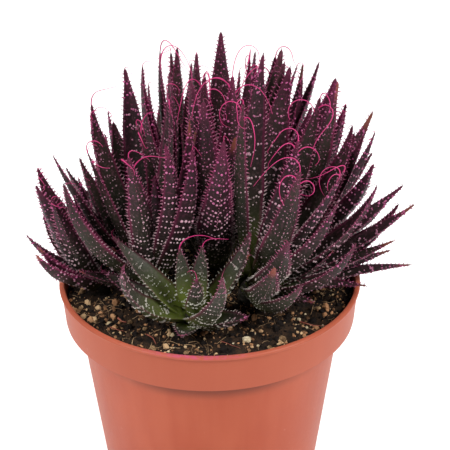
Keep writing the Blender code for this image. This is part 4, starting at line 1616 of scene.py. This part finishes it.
def plastic_paint(recipe):
    """Terracotta-coloured plastic with a satin skin, fine flow marks and a little dust, with a
    painted sheen on the band, a painted shadow under it and a painted pink highlight on the lip.
    """
    place = recipe.node("ShaderNodeTexCoord").output("Object")
    cloud = recipe.noise(28.0, 4.0, place)
    fine = recipe.noise(700.0, 3.0, place)
    x, y, height = (
        recipe.node("ShaderNodeSeparateXYZ", Vector=place).output(axis) for axis in "XYZ"
    )
    flow = recipe.noise(1.0, 3.0, recipe.node("ShaderNodeMapping", Vector=place, Scale=FLOW_SCALE))
    paler = recipe.ease(cloud * 0.6 + flow * 0.4, 0.3, 0.7)
    colour = recipe.blend(paler, TERRACOTTA, PALE_TERRACOTTA)
    # Painted sheen: the band is painted paler, in place of the stronger reflection that lightens it
    colour = recipe.blend((height > SHOULDER) * 0.55, colour, PAINTED_BAND_SHEEN)
    # Painted shadow: the wall just under the band's overhang darkens towards CORNER_SHADE, most at
    # the front
    corner = recipe.ease(height, SHOULDER - 9 * MM, SHOULDER - 3 * MM)
    corner = corner * (height < SHOULDER - 0.1 * MM)
    inwards = 1 - recipe.ease(abs(x), 12 * MM, 40 * MM)
    colour = recipe.blend(corner * (0.2 + inwards * 0.55), colour, CORNER_SHADE)
    # Painted highlight: a pink streak along the top of the lip at the front
    rim = recipe.ease(height, POT_HEIGHT - 1.1 * MM, POT_HEIGHT - 0.1 * MM)
    front = 1 - recipe.ease(abs(x + 5 * MM), 3 * MM, 26 * MM)
    lip_highlight = rim * front * (y < 0.0) * recipe.ease(fine, 0.3, 0.6)
    colour = recipe.blend(lip_highlight * 0.5, colour, PAINTED_LIP_HIGHLIGHT)
    dust = recipe.ease(recipe.noise(240.0, 2.0, place), 0.72, 0.84)
    colour = recipe.blend(dust * 0.25, colour, DUST)
    rough = 0.34 + cloud * 0.12 + fine * 0.08 - rim * 0.12
    return colour, rough, fine * 0.4 + flow * 0.6, 0.12, 0.15 * MM


# %% Turn the pot and drill its drain holes
POT_STEPS = 128
DRAIN_RADIUS = 3.5 * MM
DRAIN_CIRCLE = 25 * MM
DRAIN_HOLES = 6
DRAIN_STEPS = 32
DRILL_LENGTH = 8 * MM
MERGED_WITHIN = 0.01 * MM
SHARP_FROM = math.radians(40)


def turned_pot():
    bm = bmesh.new()
    points = [bm.verts.new((radius * MM, 0, height * MM)) for radius, height in POT_PROFILE]
    for first, second in zip(points, points[1:]):
        bm.edges.new((first, second))
    pot = new_object("pot_shell", mesh_from(bm, "pot_shell"))
    screw = pot.modifiers.new("turn", "SCREW")
    screw.steps = screw.render_steps = POT_STEPS
    screw.use_merge_vertices = True
    screw.merge_threshold = MERGED_WITHIN
    return pot


def drain_cutters():
    home = bpy.data.collections.new("drain_cutters")
    scene.collection.children.link(home)
    drill = {"segments": DRAIN_STEPS, "radius1": DRAIN_RADIUS, "radius2": DRAIN_RADIUS}
    for turn in turns(DRAIN_HOLES):
        place = (DRAIN_CIRCLE * math.cos(turn), DRAIN_CIRCLE * math.sin(turn), RECESS)
        bm = bmesh.new()
        bmesh.ops.create_cone(bm, cap_ends=True, depth=DRILL_LENGTH, **drill)
        bmesh.ops.translate(bm, vec=place, verts=bm.verts)
        home.objects.link(bpy.data.objects.new("drain", mesh_from(bm, "drain")))
    return home


def build_pot():
    pot = turned_pot()
    cut = pot.modifiers.new("drains", "BOOLEAN")
    cut.operation = "DIFFERENCE"
    cut.operand_type = "COLLECTION"
    cut.collection = drain_cutters()
    bpy.context.view_layer.update()
    mesh = evaluated_mesh(pot)
    for cutter in list(cut.collection.objects):
        bpy.data.objects.remove(cutter)
    bpy.data.collections.remove(cut.collection)
    pot.modifiers.clear()
    pot.data = mesh
    mesh.shade_smooth()
    mesh.set_sharp_from_angle(angle=SHARP_FROM)
    mesh.materials.clear()
    mesh.materials.append(finish("moulded_plastic", 0.12, plastic_paint))
    return pot


settle(build_pot(), "pot")

# %% [markdown]
# ## Floor and light
#
# The plant stands on a wide white floor under soft light, as in a small product studio. Wide
# lights and a white world give soft shadows; a small lamp would throw hard ones between the
# leaves.

# %% Studio
FLOOR_SIZE = 20.0
FLOOR_GLOW = 0.25
WORLD_STRENGTH = 0.2
LIT_POINT = Vector((0, 0, 0.12))
# place in m, size in m and power in W
LIGHTS = {
    "left_light": ((-0.85, -0.5, 1.0), 0.6, 13.0),
    "right_light": ((0.85, -0.5, 1.0), 0.6, 15.0),
    "back_light": ((-0.1, 0.7, 1.2), 0.9, 9.0),
}


def floor_paint(recipe):
    return recipe.blend(recipe.noise(9.0, 2.0), (0.93, 0.93, 0.93), (0.95, 0.95, 0.95)), 0.8


def add_floor():
    material = finish("pale_floor", 0.5, floor_paint)
    sockets = material.node_tree.nodes["Principled BSDF"].inputs
    sockets["Emission Color"].default_value = (1, 1, 1, 1)
    sockets["Emission Strength"].default_value = FLOOR_GLOW
    bm = bmesh.new()
    bmesh.ops.create_grid(bm, x_segments=2, y_segments=2, size=FLOOR_SIZE)
    mesh = mesh_from(bm, "floor")
    mesh.materials.append(material)
    new_object("floor", mesh)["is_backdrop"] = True


def add_light(name, place, size, power):
    data = bpy.data.lights.new(name, "AREA")
    data.size, data.energy = size, power
    light = new_object(name, data)
    light.location = place
    light.rotation_euler = (LIT_POINT - Vector(place)).to_track_quat("-Z", "Y").to_euler()


def add_world():
    world = scene.world = bpy.data.worlds.new("studio")
    world.use_nodes = True
    background = world.node_tree.nodes["Background"].inputs
    background["Color"].default_value = (1.0, 1.0, 1.0, 1)
    background["Strength"].default_value = WORLD_STRENGTH


add_floor()
for name, look in LIGHTS.items():
    add_light(name, *look)
add_world()
scene.view_settings.view_transform = "Standard"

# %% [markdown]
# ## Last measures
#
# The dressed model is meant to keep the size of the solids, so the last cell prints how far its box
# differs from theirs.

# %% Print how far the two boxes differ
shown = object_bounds()
grew = [
    [round((b - a) / MM, 1) for a, b in zip(before, after)] for before, after in zip(CAD_BOX, shown)
]
print("the dressed box differs from the solids' by", grew, "mm")
